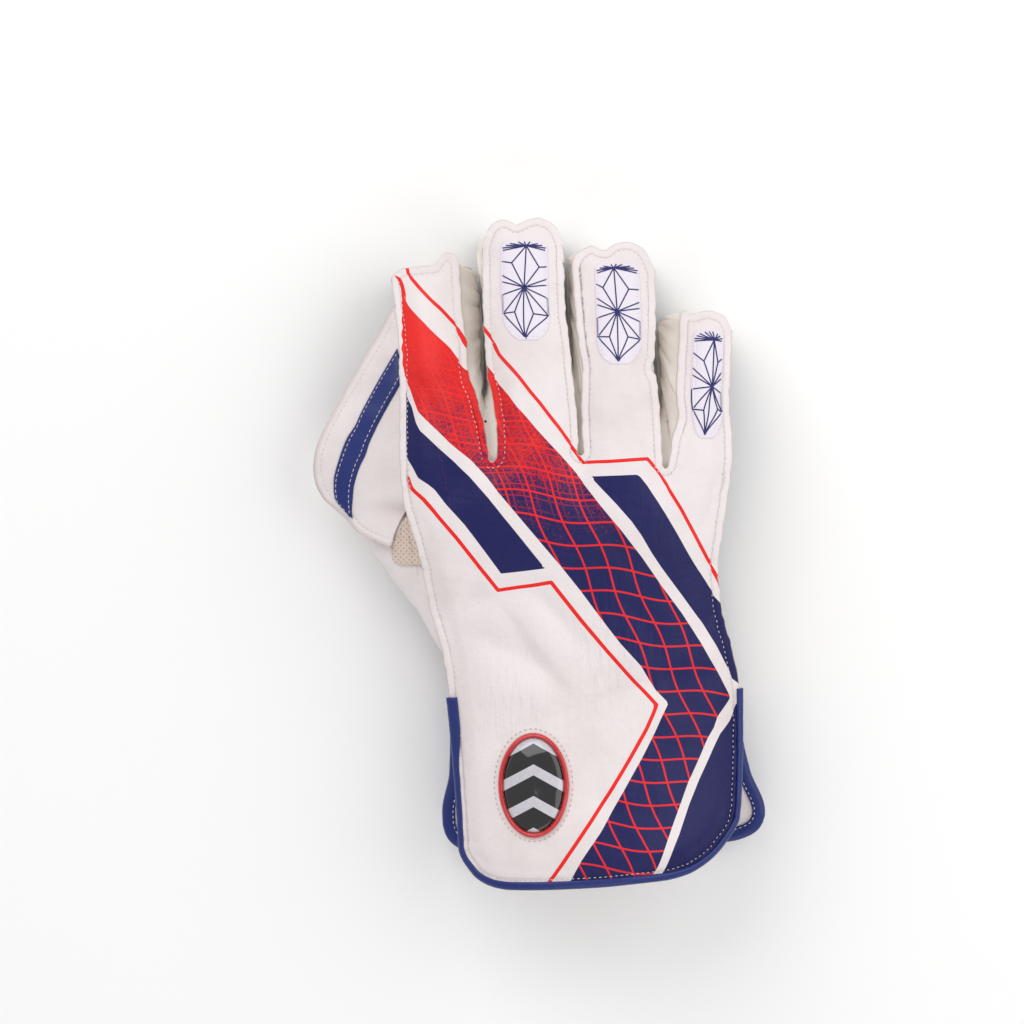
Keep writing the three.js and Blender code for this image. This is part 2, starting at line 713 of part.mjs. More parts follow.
function sideWallIndex() {
  return wallMesh([
    ...tipStations(0, 'left'),
    ...sideStations(0, 'left', ALONG_FINGER - 1, 0),
    ...handStations(SEAM_COLUMN.left, INDEX_WALL_END.back, INDEX_WALL_END.palm, 5),
  ]);
}

function sideWallLittle() {
  const finger = FINGER_COUNT - 1;
  return wallMesh([
    ...tipStations(finger, 'right'),
    ...sideStations(finger, 'right', ALONG_FINGER - 1, 0),
    ...handStations(LAST_COLUMN - 1, LITTLE_WALL_END.back, LITTLE_WALL_END.palm, 9),
  ].reverse());
}

// The thumb stall: rings of places round the thumb, from its mouth between the panels to the closed tip.
const RING_PLACES = 16;
const TOP_PLACES = RING_PLACES / 2 - 1;

function mouthRing() {
  const sink = BACK_LEATHER / 2 + WALL_GAP + WALL_LEATHER / 2;
  const lift = PALM_LEATHER / 2 + WALL_GAP + WALL_LEATHER / 2;
  const under = (t) => {
    const row = handRow(back, mix(MOUTH.back_from, MOUTH.back_to, t));
    const at = onGrid(back.grid, back.normals, MOUTH.column, row);
    return at.point.addScaledVector(at.normal, -sink);
  };
  const over = (t) => {
    const row = handRow(palm, mix(MOUTH.palm_from, MOUTH.palm_to, t));
    const at = onGrid(palm.grid, palm.normals, MOUTH.column, row);
    return at.point.addScaledVector(at.normal, lift);
  };
  const ring = [];
  for (let i = 0; i < TOP_PLACES; i += 1) ring.push(under(i / (TOP_PLACES - 1)));
  ring.push(under(1).lerp(over(1), 0.5));
  for (let i = 0; i < TOP_PLACES; i += 1) ring.push(over(1 - i / (TOP_PLACES - 1)));
  ring.push(under(0).lerp(over(0), 0.5));
  return ring;
}

function ovalRing(upper, lower, level, rise) {
  const middle = upper.clone().lerp(lower, 0.5);
  const half = upper.clone().sub(lower).multiplyScalar(0.5);
  return Array.from({ length: RING_PLACES }, (_, i) => {
    const angle = ((i + 1) / RING_PLACES) * 2 * Math.PI;
    const point = middle.clone().addScaledVector(half, Math.cos(angle));
    return point.setZ(THUMB_HEIGHT * (level + rise * Math.sin(angle)));
  });
}

function thumbAxis(share) {
  const turn = THUMB_ROOT.turn * DEGREE;
  const x = THUMB_ROOT.x * HALF_WIDTH - Math.sin(turn) * THUMB_LENGTH * share;
  const y = THUMB_ROOT.y * HAND_LENGTH + Math.cos(turn) * THUMB_LENGTH * share;
  return vector(x, y, 0);
}

function thumbSurface() {
  const rings = [mouthRing()];
  for (const ring of THUMB_RINGS) {
    const upper = vector(ring.upper_x * HALF_WIDTH, ring.upper_y * HAND_LENGTH, 0);
    const lower = vector(ring.lower_x * HALF_WIDTH, ring.lower_y * HAND_LENGTH, 0);
    rings.push(ovalRing(upper, lower, ring.level, ring.rise));
  }
  const turn = THUMB_ROOT.turn * DEGREE;
  const side = vector(Math.cos(turn), Math.sin(turn), 0);
  for (const ring of THUMB_TUBE) {
    const centre = thumbAxis(ring.along);
    const half = side.clone().multiplyScalar(THUMB_HALF_WIDTH * ring.half);
    rings.push(ovalRing(centre.clone().add(half), centre.clone().sub(half), ring.level, ring.rise));
  }
  const points = [...rings.flat(), thumbAxis(1).setZ(THUMB_HEIGHT * THUMB_TIP_LEVEL)];
  const faces = [];
  rings.forEach((ring, k) => {
    for (let i = 0; i < RING_PLACES; i += 1) {
      const a = k * RING_PLACES + i;
      const b = k * RING_PLACES + ((i + 1) % RING_PLACES);
      if (k < rings.length - 1) faces.push([b, a, a + RING_PLACES, b + RING_PLACES]);
      else faces.push([b, a, points.length - 1]);
    }
  });
  return { points, faces };
}

const thumb = thumbSurface();
const thumbNormals = vertexNormals(thumb.points, thumb.faces);

// The gusset lies on the stall's upper side in the fork, tucked under the edge of the back.
const GUSSET_RINGS = { first: 1, last: 3 };
const GUSSET_PLACES = { first: 1, last: 4 };

function gussetMesh() {
  const columns = [];
  const normals = [];
  for (let i = GUSSET_PLACES.last; i >= GUSSET_PLACES.first; i -= 1) {
    const column = [];
    for (let k = GUSSET_RINGS.first; k <= GUSSET_RINGS.last; k += 1) {
      column.push(thumb.points[k * RING_PLACES + i]);
      normals.push(thumbNormals[k * RING_PLACES + i]);
    }
    columns.push(column);
  }
  const seat = WALL_LEATHER / 2 + GUSSET_GAP;
  return skin(gridFaces(columns), seat + TRIM_LEATHER, -seat, normals);
}

// The web starts beside the index side wall and drapes over the thumb.
const WEB_CAPS = [1, 0.8, 0.45, 0.22, 0];
const WEB_SAG = 4;
const WEB_BLEND = 5;

// The thumb stall's ridge: where each ring's middle lies along the thumb's axis, and its top.
function thumbRidge() {
  const turn = THUMB_ROOT.turn * DEGREE;
  const fork = THUMB_RINGS.map((ring) => {
    const dx = (ring.upper_x + ring.lower_x) * 0.5 * HALF_WIDTH - THUMB_ROOT.x * HALF_WIDTH;
    const dy = (ring.upper_y + ring.lower_y) * 0.5 * HAND_LENGTH - THUMB_ROOT.y * HAND_LENGTH;
    return { along: (dy * Math.cos(turn) - dx * Math.sin(turn)) / THUMB_LENGTH, top: ring.level + ring.rise };
  });
  const tube = THUMB_TUBE.map((ring) => ({ along: ring.along, top: ring.level + ring.rise }));
  return [...fork, ...tube.slice(0, 3), { along: 1.1, top: tube[2].top }];
}

const RIDGE = thumbRidge();

// Lowest height at which the web clears the thumb: over the ridge, sagging a little to both sides.
function webSeat(x, y) {
  const root = thumbAxis(0);
  const turn = THUMB_ROOT.turn * DEGREE;
  const share = ((y - root.y) * Math.cos(turn) - (x - root.x) * Math.sin(turn)) / THUMB_LENGTH;
  const off = Math.abs((x - root.x) * Math.cos(turn) + (y - root.y) * Math.sin(turn)) / THUMB_HALF_WIDTH;
  const top = THUMB_HEIGHT * along(RIDGE, 'along', 'top', share);
  return top + WALL_LEATHER / 2 + WEB_GAP + WEB_LEATHER / 2 - WEB_SAG * off ** 2;
}

function webInner(row) {
  if (row.inner_x !== undefined) {
    return vector(-HALF_WIDTH - WEB_WIDTH * row.inner_x, row.inner_y * HAND_LENGTH, WEB_LEVEL * KNUCKLE_HEIGHT);
  }
  const length = fingerLength(0) / HAND_LENGTH;
  const onFinger = row.inner_y > 0;
  const backRow = onFinger ? back.knuckleRow + (ALONG_FINGER * row.inner_y) / length : handRow(back, -row.inner_y);
  const palmY = row.inner_y - PALM_CROTCHES[0];
  const palmRow = palmY > 0
    ? palm.knuckleRow + (ALONG_FINGER * palmY) / (length - PALM_CROTCHES[0])
    : palm.knuckleRow * (1 + palmY / (WRIST_SHARE * (PALM_LENGTH / HAND_LENGTH + PALM_CROTCHES[0])));
  const { upper, lower } = wallFeet({ backAt: [1, backRow], palmAt: [1, palmRow] });
  const point = lower.lerp(upper, 0.5);
  point.x -= WALL_LEATHER / 2 + CLEARANCE + WEB_LEATHER / 2;
  return point;
}

function webColumns() {
  const insets = [0, WEB_STRIPE_INSET, WEB_STRIPE_INSET + WEB_STRIPE_WIDTH];
  const grid = WEB_CAPS.map(() => []);
  for (const row of WEB_ROWS) {
    const inner = webInner(row);
    const outer = vector(-HALF_WIDTH - WEB_WIDTH * row.out_x, row.out_y * HAND_LENGTH, 0);
    const width = Math.hypot(outer.x - inner.x, outer.y - inner.y);
    WEB_CAPS.forEach((cap, j) => {
      const fromOuter = j < insets.length ? Math.min(insets[j] / width, 1 - cap) : 1 - cap;
      const share = 1 - fromOuter;
      const point = inner.clone().lerp(outer, share);
      const flat = inner.z - WEB_DROOP.share * THUMB_HEIGHT * row.droop * share ** WEB_DROOP.power;
      const seat = webSeat(point.x, point.y);
      const z = (flat + seat + Math.hypot(flat - seat, WEB_BLEND)) / 2;
      grid[j].push(point.setZ(z));
    });
  }
  return grid;
}

const webGrid = webColumns();
const web = gridFaces(webGrid.map((column) => column.slice().reverse()));
const webNormals = vertexNormals(web.points, web.faces);

const STRIPE_ROWS = { first: 2, last: 8 };

function stripeMesh() {
  const rows = WEB_ROWS.length;
  const columns = [];
  const normals = [];
  for (const j of [1, 2]) {
    const column = [];
    for (let i = STRIPE_ROWS.last; i >= STRIPE_ROWS.first; i -= 1) {
      const k = j * rows + (rows - 1 - i);
      column.push(web.points[k]);
      normals.push(webNormals[k]);
    }
    columns.push(column);
  }
  const seat = WEB_LEATHER / 2 + CLEARANCE;
  return skin(gridFaces(columns), seat + TRIM_LEATHER, -seat, normals);
}

// A binding folded over a panel's free edge: a channel carried along the edge.
function bindingMesh(points, normals, leather) {
  const slot = leather / 2 + CLEARANCE;
  const outside = slot + TRIM_LEATHER;
  const lip = CLEARANCE + TRIM_LEATHER;
  const inner = lip - BINDING_WIDTH;
  const section = [
    [inner, outside], [lip, outside], [lip, -outside], [inner, -outside],
    [inner, -slot], [CLEARANCE, -slot], [CLEARANCE, slot], [inner, slot],
  ];
  const sides = section.length;
  const stations = [];
  points.forEach((point, k) => {
    const before = points[Math.max(0, k - 1)];
    const after = points[Math.min(points.length - 1, k + 1)];
    const travel = after.clone().sub(before).normalize();
    const out = travel.clone().cross(normals[k]).normalize();
    const up = out.clone().cross(travel).normalize();
    for (const [o, h] of section) {
      stations.push(point.clone().addScaledVector(out, o).addScaledVector(up, h));
    }
  });
  const faces = [];
  for (let k = 0; k < points.length - 1; k += 1) {
    for (let i = 0; i < sides; i += 1) {
      const a = k * sides + i;
      const b = k * sides + ((i + 1) % sides);
      faces.push([b, b + sides, a + sides, a]);
    }
  }
  const bars = [[0, 1, 6, 7], [1, 2, 5, 6], [2, 3, 4, 5]];
  const last = (points.length - 1) * sides;
  for (const bar of bars) {
    faces.push(bar.slice().reverse());
    faces.push(bar.map((i) => i + last));
  }
  return geometryFrom(stations, faces);
}

// Places along a grid's free edge: down the left side, along the hem and up the right side.
function hemPath(grid, normals, topRow, hemColumns) {
  const rows = grid[0].length;
  const path = [];
  for (let i = topRow; i > 0; i -= 1) path.push([0, i]);
  for (const c of hemColumns) path.push([c, 0]);
  for (let i = 1; i <= topRow; i += 1) path.push([grid.length - 1, i]);
  return {
    points: path.map(([c, i]) => grid[c][i]),
    normals: path.map(([c, i]) => normals[c * rows + i]),
  };
}

const BACK_BINDING_ROWS = 7;
const PALM_BINDING_ROWS = 5;

const isHemColumn = (c) => c < FINGER_COLUMNS || c > LAST_COLUMN - FINGER_COLUMNS || c % 2 === 0;
const HEM_COLUMNS = COLUMNS.filter(isHemColumn);

function backBinding() {
  const edge = hemPath(back.grid, back.normals, BACK_BINDING_ROWS, HEM_COLUMNS);
  return bindingMesh(edge.points, edge.normals, BACK_LEATHER);
}

// The palm's cuff flap goes on from the wrist seam.
const FLAP_SHARES = Array.from(
  { length: FLAP_ROWS + 1 },
  (_, i) => mix(1, WRIST_SHARE + seamShare, i / FLAP_ROWS),
);
const flap = COLUMNS.map((c) => handColumn(PALM, c, FLAP_SHARES));
const flapSurface = gridFaces(flap);
const flapNormals = vertexNormals(flapSurface.points, flapSurface.faces);

function palmBinding() {
  const edge = hemPath(flap, flapNormals, PALM_BINDING_ROWS, HEM_COLUMNS);
  return bindingMesh(edge.points, edge.normals, PALM_LEATHER);
}

// Pieces sewn on the back lie on its upper face.
const backTop = moved(back.surface.points, back.normals, BACK_LEATHER / 2);

function onBack(x, y, height) {
  const { z, level } = heightOn(backTop, back.surface.faces, x, y);
  return vector(x, y, z + height / Math.max(0.5, level));
}

const PATCH_ROWS = 10;
const PATCH_COLUMNS = 4;

// A patch narrows at its ends: how much of its half width squared goes, and how suddenly.
const PATCH_END = { share: 0.8, power: 6 };

function patchMesh(patch) {
  const columns = Array.from({ length: PATCH_COLUMNS + 1 }, () => []);
  const middle = HAND_LENGTH * mix(BACK_CROTCHES[patch.finger], BACK_CROTCHES[patch.finger + 1], 0.5);
  for (let i = 0; i <= PATCH_ROWS; i += 1) {
    const t = i / PATCH_ROWS;
    const share = mix(patch.from, patch.to, t);
    const edges = fingerEdges(BACK, patch.finger, share);
    const centre = mix(edges.left, edges.right, patch.across);
    const end = Math.abs(2 * t - 1);
    const half = (PATCH_WIDTH / 2) * patch.width * Math.sqrt(1 - PATCH_END.share * end ** PATCH_END.power);
    const y = middle + fingerLength(patch.finger) * share;
    for (let j = 0; j <= PATCH_COLUMNS; j += 1) {
      const x = centre + half * ((2 * j) / PATCH_COLUMNS - 1);
      columns[j].push(onBack(x, y, SEAT_GAP));
    }
  }
  const surface = gridFaces(columns);
  const normals = vertexNormals(surface.points, surface.faces);
  return slab(moved(surface.points, normals, TRIM_LEATHER), surface.points, surface.faces);
}

// The badge: an upright oval, a raised rim round a domed face.
const BADGE_PLACES = 24;

function badgeRing(half_x, half_y, height) {
  return Array.from({ length: BADGE_PLACES }, (_, i) => {
    const angle = (i / BADGE_PLACES) * 2 * Math.PI;
    const x = BADGE_PLACE.x * HALF_WIDTH + half_x * Math.cos(angle);
    const y = BADGE_PLACE.y * HAND_LENGTH + half_y * Math.sin(angle);
    return onBack(x, y, height);
  });
}

// A slab from rings given inside out, each with its half sizes and its height over the badge's seat.
function badgePiece(rings, centreHeight) {
  const lower = rings.flatMap((ring) => badgeRing(ring.half_x, ring.half_y, SEAT_GAP));
  const upper = rings.flatMap((ring) => badgeRing(ring.half_x, ring.half_y, SEAT_GAP + ring.height));
  const faces = [];
  for (let k = 0; k < rings.length - 1; k += 1) {
    for (let i = 0; i < BADGE_PLACES; i += 1) {
      const a = k * BADGE_PLACES + i;
      const b = k * BADGE_PLACES + ((i + 1) % BADGE_PLACES);
      faces.push([a, a + BADGE_PLACES, b + BADGE_PLACES, b]);
    }
  }
  if (centreHeight !== undefined) {
    const centre = rings.length * BADGE_PLACES;
    const [x, y] = [BADGE_PLACE.x * HALF_WIDTH, BADGE_PLACE.y * HAND_LENGTH];
    lower.push(onBack(x, y, SEAT_GAP));
    upper.push(onBack(x, y, SEAT_GAP + centreHeight));
    for (let i = 0; i < BADGE_PLACES; i += 1) faces.push([centre, i, (i + 1) % BADGE_PLACES]);
  }
  return slab(upper, lower, faces);
}

// The rim's section from inside out, and the face's from the middle out: inset as a share of the rim's width
// or reach as a share of the face's half sizes, height as a share of the badge's height.
const RIM_SECTION = [{ inset: 1, height: 0.8 }, { inset: 0.4, height: 1 }, { inset: 0, height: 0.45 }];
const FACE_SECTION = [{ reach: 0.4, height: 1.25 }, { reach: 0.75, height: 1.1 }, { reach: 1, height: 0.75 }];
const FACE_TOP = 1.3;

function badgeRim() {
  return badgePiece(RIM_SECTION.map(({ inset, height }) => ({
    half_x: BADGE_WIDTH / 2 - BADGE_RIM * inset,
    half_y: BADGE_LENGTH / 2 - BADGE_RIM * inset,
    height: BADGE_HEIGHT * height,
  })));
}

function badgeFace() {
  const rings = FACE_SECTION.map(({ reach, height }) => ({
    half_x: (BADGE_WIDTH / 2 - BADGE_RIM - CLEARANCE) * reach,
    half_y: (BADGE_LENGTH / 2 - BADGE_RIM - CLEARANCE) * reach,
    height: BADGE_HEIGHT * height,
  }));
  return badgePiece(rings, BADGE_HEIGHT * FACE_TOP);
}

const glove = new THREE.Group();

function add(name, geometry, finish) {
  const material = new THREE.MeshStandardMaterial({ ...COLOURS[finish], metalness: 0 });
  const mesh = new THREE.Mesh(geometry, material);
  mesh.name = name;
  glove.add(mesh);
}

add('back_panel', panelMesh(back), 'leather');
add('palm_panel', panelMesh(palm), 'palm');
add('side_wall_index', sideWallIndex(), 'leather');
add('fourchette_index_middle', fourchette(0), 'leather');
add('fourchette_middle_ring', fourchette(1), 'leather');
add('fourchette_ring_little', fourchette(2), 'leather');
add('side_wall_little', sideWallLittle(), 'leather');
add('thumb_stall', skin(thumb, WALL_LEATHER / 2, WALL_LEATHER / 2, thumbNormals), 'leather');
add('thumb_gusset', gussetMesh(), 'gusset');
add('web_panel', skin(web, WEB_LEATHER / 2, WEB_LEATHER / 2, webNormals), 'leather');
add('web_stripe', stripeMesh(), 'trim');
add('cuff_flap_palm', skin(flapSurface, PALM_LEATHER / 2, PALM_LEATHER / 2, flapNormals), 'leather');
add('cuff_binding_back', backBinding(), 'trim');
add('cuff_binding_palm', palmBinding(), 'trim');
for (const patch of PATCHES) add(`finger_patch_${patch.name}`, patchMesh(patch), 'patch');
add('badge_rim', badgeRim(), 'rim');
add('badge_face', badgeFace(), 'face');

// The origin is the middle of the underside.
const bounds = new THREE.Box3().setFromObject(glove);
const centre = bounds.getCenter(vector(0, 0, 0));
glove.position.set(-centre.x, -centre.y, -bounds.min.z);

export default glove;
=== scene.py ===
"""Looks of a right-hand wicketkeeping glove that lies palm down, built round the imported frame.

Shapes are worked out in millimetres from the knuckle line (y = 0) and the hand's centreline (x = 0), and
moved into the frame's metres at the end. Places on the printed back are pixels of the photograph.
"""

import bmesh
import bpy
import numpy as np
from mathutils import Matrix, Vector
from mathutils.bvhtree import BVHTree


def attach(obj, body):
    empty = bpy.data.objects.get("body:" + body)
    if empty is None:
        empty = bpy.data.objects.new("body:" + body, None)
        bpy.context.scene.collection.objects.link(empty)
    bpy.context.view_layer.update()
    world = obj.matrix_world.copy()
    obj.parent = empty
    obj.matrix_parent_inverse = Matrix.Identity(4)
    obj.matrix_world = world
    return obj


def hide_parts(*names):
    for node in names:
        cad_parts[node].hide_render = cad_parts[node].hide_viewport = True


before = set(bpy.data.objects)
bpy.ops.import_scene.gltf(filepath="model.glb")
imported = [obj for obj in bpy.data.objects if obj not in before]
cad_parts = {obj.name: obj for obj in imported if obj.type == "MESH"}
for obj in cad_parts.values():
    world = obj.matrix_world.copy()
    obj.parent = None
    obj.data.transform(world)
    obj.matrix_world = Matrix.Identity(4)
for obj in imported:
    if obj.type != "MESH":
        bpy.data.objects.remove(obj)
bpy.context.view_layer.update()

# Driving sizes in millimetres, as in the frame
SHIFT = np.array([12.609, 44.242, 0.0])
PIXEL = 0.48
CENTRE_PIXEL = (566.0, 459.0)
HALF_WIDTH = 78.5
HAND_LENGTH = 203.5
FINGER_LENGTH = 114.5
PALM_LENGTH = 190.0
KNUCKLE_HEIGHT = 77.0
PALM_HOLLOW = 34.0
TIP_HEIGHT = 37.0
TIP_DEPTH = 14.4
BACK_LEATHER = 2.4
PALM_LEATHER = 2.6
WALL_LEATHER = 1.8
TRIM_LEATHER = 1.1
SEAM = 3.4
CLEARANCE = 0.35
WALL_GAP = CLEARANCE + 0.25
CROWN = 2.2
BINDING_WIDTH = 4.0
PALM_BINDING_WIDTH = 6.4
BINDING_STEP = 1.3
BINDING_START = 106.0
CUFF_SEAM = 2.7
THUMB_LENGTH = 89.0
THUMB_HALF_WIDTH = 14.4
THUMB_HEIGHT = 33.0
WEB_WIDTH = 43.0
WEB_LEATHER = 1.6
WEB_SEAM = 3.3
PATCH_WIDTH = 23.0
BADGE = dict(x=-0.2, y=-0.764, width=33.0, length=49.0, rim=2.4, height=2.6)
WRIST_SHARE = 0.66
PAD_SWELL = 1.9
SEAM_GROOVE = 0.55
SEAM_PUCKER = 0.4
SEAM_ROLL = 0.65
THUMB_FOLDS = 0.75
WALL_BULGE = 1.8
WALL_FOLDS = 0.6
ARCH_POWER = 2.2
PALM_FLAT = 0.35
CROWN_FADE = 0.22
COLUMN_SPREAD = 0.12
STITCH_LENGTH = 1.75
STITCH_PITCH = 2.6
THREAD = 0.26
HAND_ROWS = 132
FINGER_ROWS = 72
PALM_ROWS = 84
PALM_FINGER_ROWS = 56
FLAP_ROWS = 62
TIP_STATIONS = 15
SIDE_STATIONS = 46
HAND_STATIONS = 40
WALL_LEVELS = 17
WALL_EDGE = 30
RUBBER_MARGIN = SEAM + 0.7
THUMB_ROWS = 110
THUMB_SPLIT = 5
BADGE_PLACES = 96
VENT_PLACES = 16
PATCH_ROWS = 86
PATCH_COLUMNS = 40
INK_HALF_WIDTH = 0.32
INK_STEPS = 14

# Finger tables: length as a share of the longest finger, the lobed tip as (share across, setback in tip
# depths), and rows of (share of the finger, left edge, right edge) in half widths.
BACK_FINGERS = (
    dict(length=0.868, lobes=(
        (0, 0.9), (0.045, 0.72), (0.106, 0.637), (0.227, 0.537), (0.485, 0.487), (0.65, 0.45), (0.68, 0.303),
        (0.727, 0.137), (0.818, 0.0), (0.864, 0.013), (0.91, 0.07), (0.97, 0.27), (1, 0.47)), rows=(
        (0, -1.009, -0.471), (0.12, -1.009, -0.495), (0.31, -1.009, -0.557), (0.43, -1.012, -0.606),
        (0.55, -1.015, -0.612), (0.74, -1.034, -0.642), (1, -1.067, -0.661))),
    dict(length=1.0, lobes=(
        (0, 1.0), (0.026, 0.75), (0.064, 0.45), (0.14, 0.183), (0.25, 0.067), (0.34, 0.133), (0.415, 0.25),
        (0.48, 0.17), (0.577, 0.05), (0.69, 0.0), (0.735, 0.02), (0.85, 0.163), (0.92, 0.383), (0.98, 0.743),
        (1, 1.0)), rows=(
        (0, -0.422, 0.064), (0.07, -0.416, 0.067), (0.235, -0.44, 0.049), (0.36, -0.477, 0.031),
        (0.47, -0.489, 0.018), (0.7, -0.505, -0.012), (1, -0.508, -0.018))),
    dict(length=0.916, lobes=(
        (0, 0.9), (0.04, 0.5), (0.1, 0.35), (0.16, 0.243), (0.235, 0.153), (0.32, 0.267), (0.4, 0.33),
        (0.46, 0.2), (0.56, 0.053), (0.66, 0.02), (0.76, 0.08), (0.86, 0.267), (0.94, 0.567),
        (1, 1.03)), rows=(
        (0, 0.107, 0.578), (0.225, 0.098, 0.563), (0.4, 0.104, 0.544), (0.45, 0.1, 0.516),
        (0.52, 0.084, 0.534), (0.775, 0.058, 0.544), (1, 0.043, 0.541))),
    dict(length=0.65, lobes=(
        (0, 0.17), (0.06, 0.05), (0.13, 0.06), (0.24, 0.123), (0.33, 0.083), (0.4, 0.043), (0.57, 0.01),
        (0.72, 0.077), (0.85, 0.21), (0.93, 0.4), (1, 0.7)), rows=(
        (0, 0.621, 1.003), (0.17, 0.648, 1.003), (0.33, 0.688, 0.991), (0.43, 0.676, 0.988),
        (0.62, 0.685, 0.997), (0.87, 0.703, 1.009), (1, 0.709, 1.015))),
)
PALM_TIP = (0.9, 0.3, 0.05, 0.12, 0.05, 0.3, 0.9)
PALM_FINGERS = (
    dict(short=0.35, tip=PALM_TIP, rows=((0, -1.021, -0.504), (0.46, -1.034, -0.508), (1, -1.052, -0.53))),
    dict(short=0.25, tip=PALM_TIP, rows=(
        (0, -0.486, 0.009), (0.54, -0.494, -0.003), (0.8, -0.534, -0.015), (1, -0.55, -0.031))),
    dict(short=0.2, tip=PALM_TIP, rows=((0, 0.027, 0.552), (0.5, 0.012, 0.535), (1, 0.006, 0.524))),
    dict(short=0.05, tip=(0.7, 0.25, 0.05, 0.12, 0.05, 0.3, 0.9), rows=(
        (0, 0.571, 0.997), (0.5, 0.561, 1.003), (1, 0.549, 0.997))),
)

# Hand tables: share of the panel's hand length, left and right edge in half widths, ridge and arch as shares
# of the panel's height.
BACK_HAND = (
    (0, -1.009, 1.003, 1, 0.13), (0.1, -0.985, 0.972, 1, 0.14), (0.18, -0.924, 0.942, 0.985, 0.15),
    (0.25, -0.875, 0.92, 0.96, 0.16), (0.35, -0.826, 0.942, 0.92, 0.17), (0.45, -0.752, 1.009, 0.89, 0.18),
    (0.55, -0.709, 1.055, 0.88, 0.2), (0.66, -0.679, 1.055, 0.91, 0.24), (0.8, -0.648, 1.045, 0.96, 0.29),
    (0.92, -0.63, 1.0, 1, 0.32), (1, -0.62, 0.94, 1.01, 0.33),
)
PALM_HAND = (
    (-0.25, -1.021, 0.997, 0.98, 0.2), (0, -1.009, 0.997, 0.9, 0.1), (0.14, -0.95, 0.966, 0.66, 0.03),
    (0.27, -0.87, 0.924, 0.46, -0.05), (0.38, -0.826, 0.945, 0.34, -0.1), (0.48, -0.752, 1.009, 0.22, -0.16),
    (0.6, -0.709, 1.06, 0.1, -0.24), (0.7, -0.685, 1.07, 0, -0.3), (0.8, -0.69, 1.12, 0, -0.34),
    (0.9, -0.734, 1.21, 0, -0.34), (0.96, -0.725, 1.2, 0, -0.34), (1, -0.69, 1.13, 0, -0.34),
)

# The hems' setbacks from the hand length: place across the hem, setback as a share of the hand length
BACK_HEM = ((0, 0.08), (0.007, 0.064), (0.0144, 0.053), (0.0325, 0.036), (0.058, 0.02), (0.094, 0.0085),
            (0.131, 0.0024), (0.17, 0), (0.5, 0.008), (0.68, 0.0175), (0.78, 0.0235), (0.83, 0.0305),
            (0.87, 0.04), (0.908, 0.0565), (0.945, 0.08), (0.97, 0.104), (0.985, 0.122), (1, 0.15))
PALM_HEM = ((0, 0.06), (0.0031, 0.046), (0.0125, 0.029), (0.028, 0.0155), (0.056, 0.005), (0.1, 0),
            (0.5, 0.01), (0.86, 0.026), (0.919, 0.0325), (0.956, 0.042), (0.981, 0.0535),
            (0.994, 0.068), (1, 0.085))

BACK = dict(fingers=BACK_FINGERS, hand=BACK_HAND, hem=BACK_HEM, crotches=(0, 0, 0.014, -0.016, -0.016),
            length=HAND_LENGTH, height=KNUCKLE_HEIGHT - BACK_LEATHER / 2, floor=0.0,
            tip_height=TIP_HEIGHT - BACK_LEATHER / 2, bend=1.65, crown=CROWN, folded=True)
PALM = dict(fingers=PALM_FINGERS, hand=PALM_HAND, hem=PALM_HEM, crotches=(0.14, 0.167, 0.245, 0.134, 0.092),
            length=PALM_LENGTH, height=PALM_HOLLOW, floor=PALM_LEATHER / 2 + CLEARANCE + TRIM_LEATHER,
            tip_height=PALM_LEATHER / 2, bend=1.35, crown=-CROWN / 2, folded=False)

# Soft folds of the back: centre, half length, half width in half widths, turn in degrees, depth in crowns
FOLDS = ((-0.3, 0.46, 0.34, 0.1, -28, 1.3), (-0.08, 0.36, 0.3, 0.08, -48, 1.0),
         (-0.5, 0.33, 0.22, 0.08, 20, 0.9), (0.5, 0.53, 0.4, 0.1, 8, 1.0))


def smooth(t):
    """Zero below 0, one above 1, an even S between."""
    s = np.clip(t, 0, 1)
    return s * s * (3 - 2 * s)


def mix(a, b, t):
    """The value a share t of the way from a to b."""
    return a + (b - a) * t


def bell(t):
    """One at 0 and falling off both ways: e to the minus t squared."""
    return np.exp(-t * t)


def running_length(line):
    """How far along a line each of its points lies: the sum of the steps before it."""
    return np.concatenate([[0], np.cumsum(np.linalg.norm(np.diff(line, axis=0), axis=1))])


def turned_place(dx, dy, turn):
    """How far along and across a line turned by some degrees a place lies: its two dot products."""
    c, s = np.cos(np.radians(turn)), np.sin(np.radians(turn))
    return dx * c + dy * s, dy * c - dx * s


def through(xs, ys):
    """A cubic through the points that never overshoots: each slope is the harmonic mean of its neighbours."""
    xs, ys = np.asarray(xs, float), np.asarray(ys, float)
    step = np.diff(xs)
    slope = np.diff(ys) / step
    before, after = slope[:-1], slope[1:]
    level = before * after > 0
    inner = np.where(level, 2 * before * after / np.where(level, before + after, 1), 0)
    tangent = np.concatenate([slope[:1], inner, slope[-1:]])

    def value(at):
        """The cubic between the two points that enclose each place, held level past the ends."""
        at = np.clip(at, xs[0], xs[-1])
        k = np.clip(np.searchsorted(xs, at, side="right") - 1, 0, len(step) - 1)
        h, t = step[k], (at - xs[k]) / step[k]
        curve = (2 * t**3 - 3 * t**2 + 1) * ys[k] + (3 * t**2 - 2 * t**3) * ys[k + 1]
        return curve + h * ((t**3 - 2 * t**2 + t) * tangent[k] + (t**3 - t**2) * tangent[k + 1])

    return value


def column_of(rows, column):
    """One column of a table as a cubic over its first column."""
    table = np.array(rows, float)
    return through(table[:, 0], table[:, column])


def waves(t, seed, lengths=(23.0, 9.7, 5.3), weights=(0.5, 0.35, 0.25)):
    """A sum of sines of chosen wavelengths whose phases come from a seed, about -1 to 1."""
    rng = np.random.default_rng(seed)
    phase = rng.uniform(0, 2 * np.pi, len(lengths))
    return sum(w * np.sin(2 * np.pi * t / n + p) for n, w, p in zip(lengths, weights, phase))


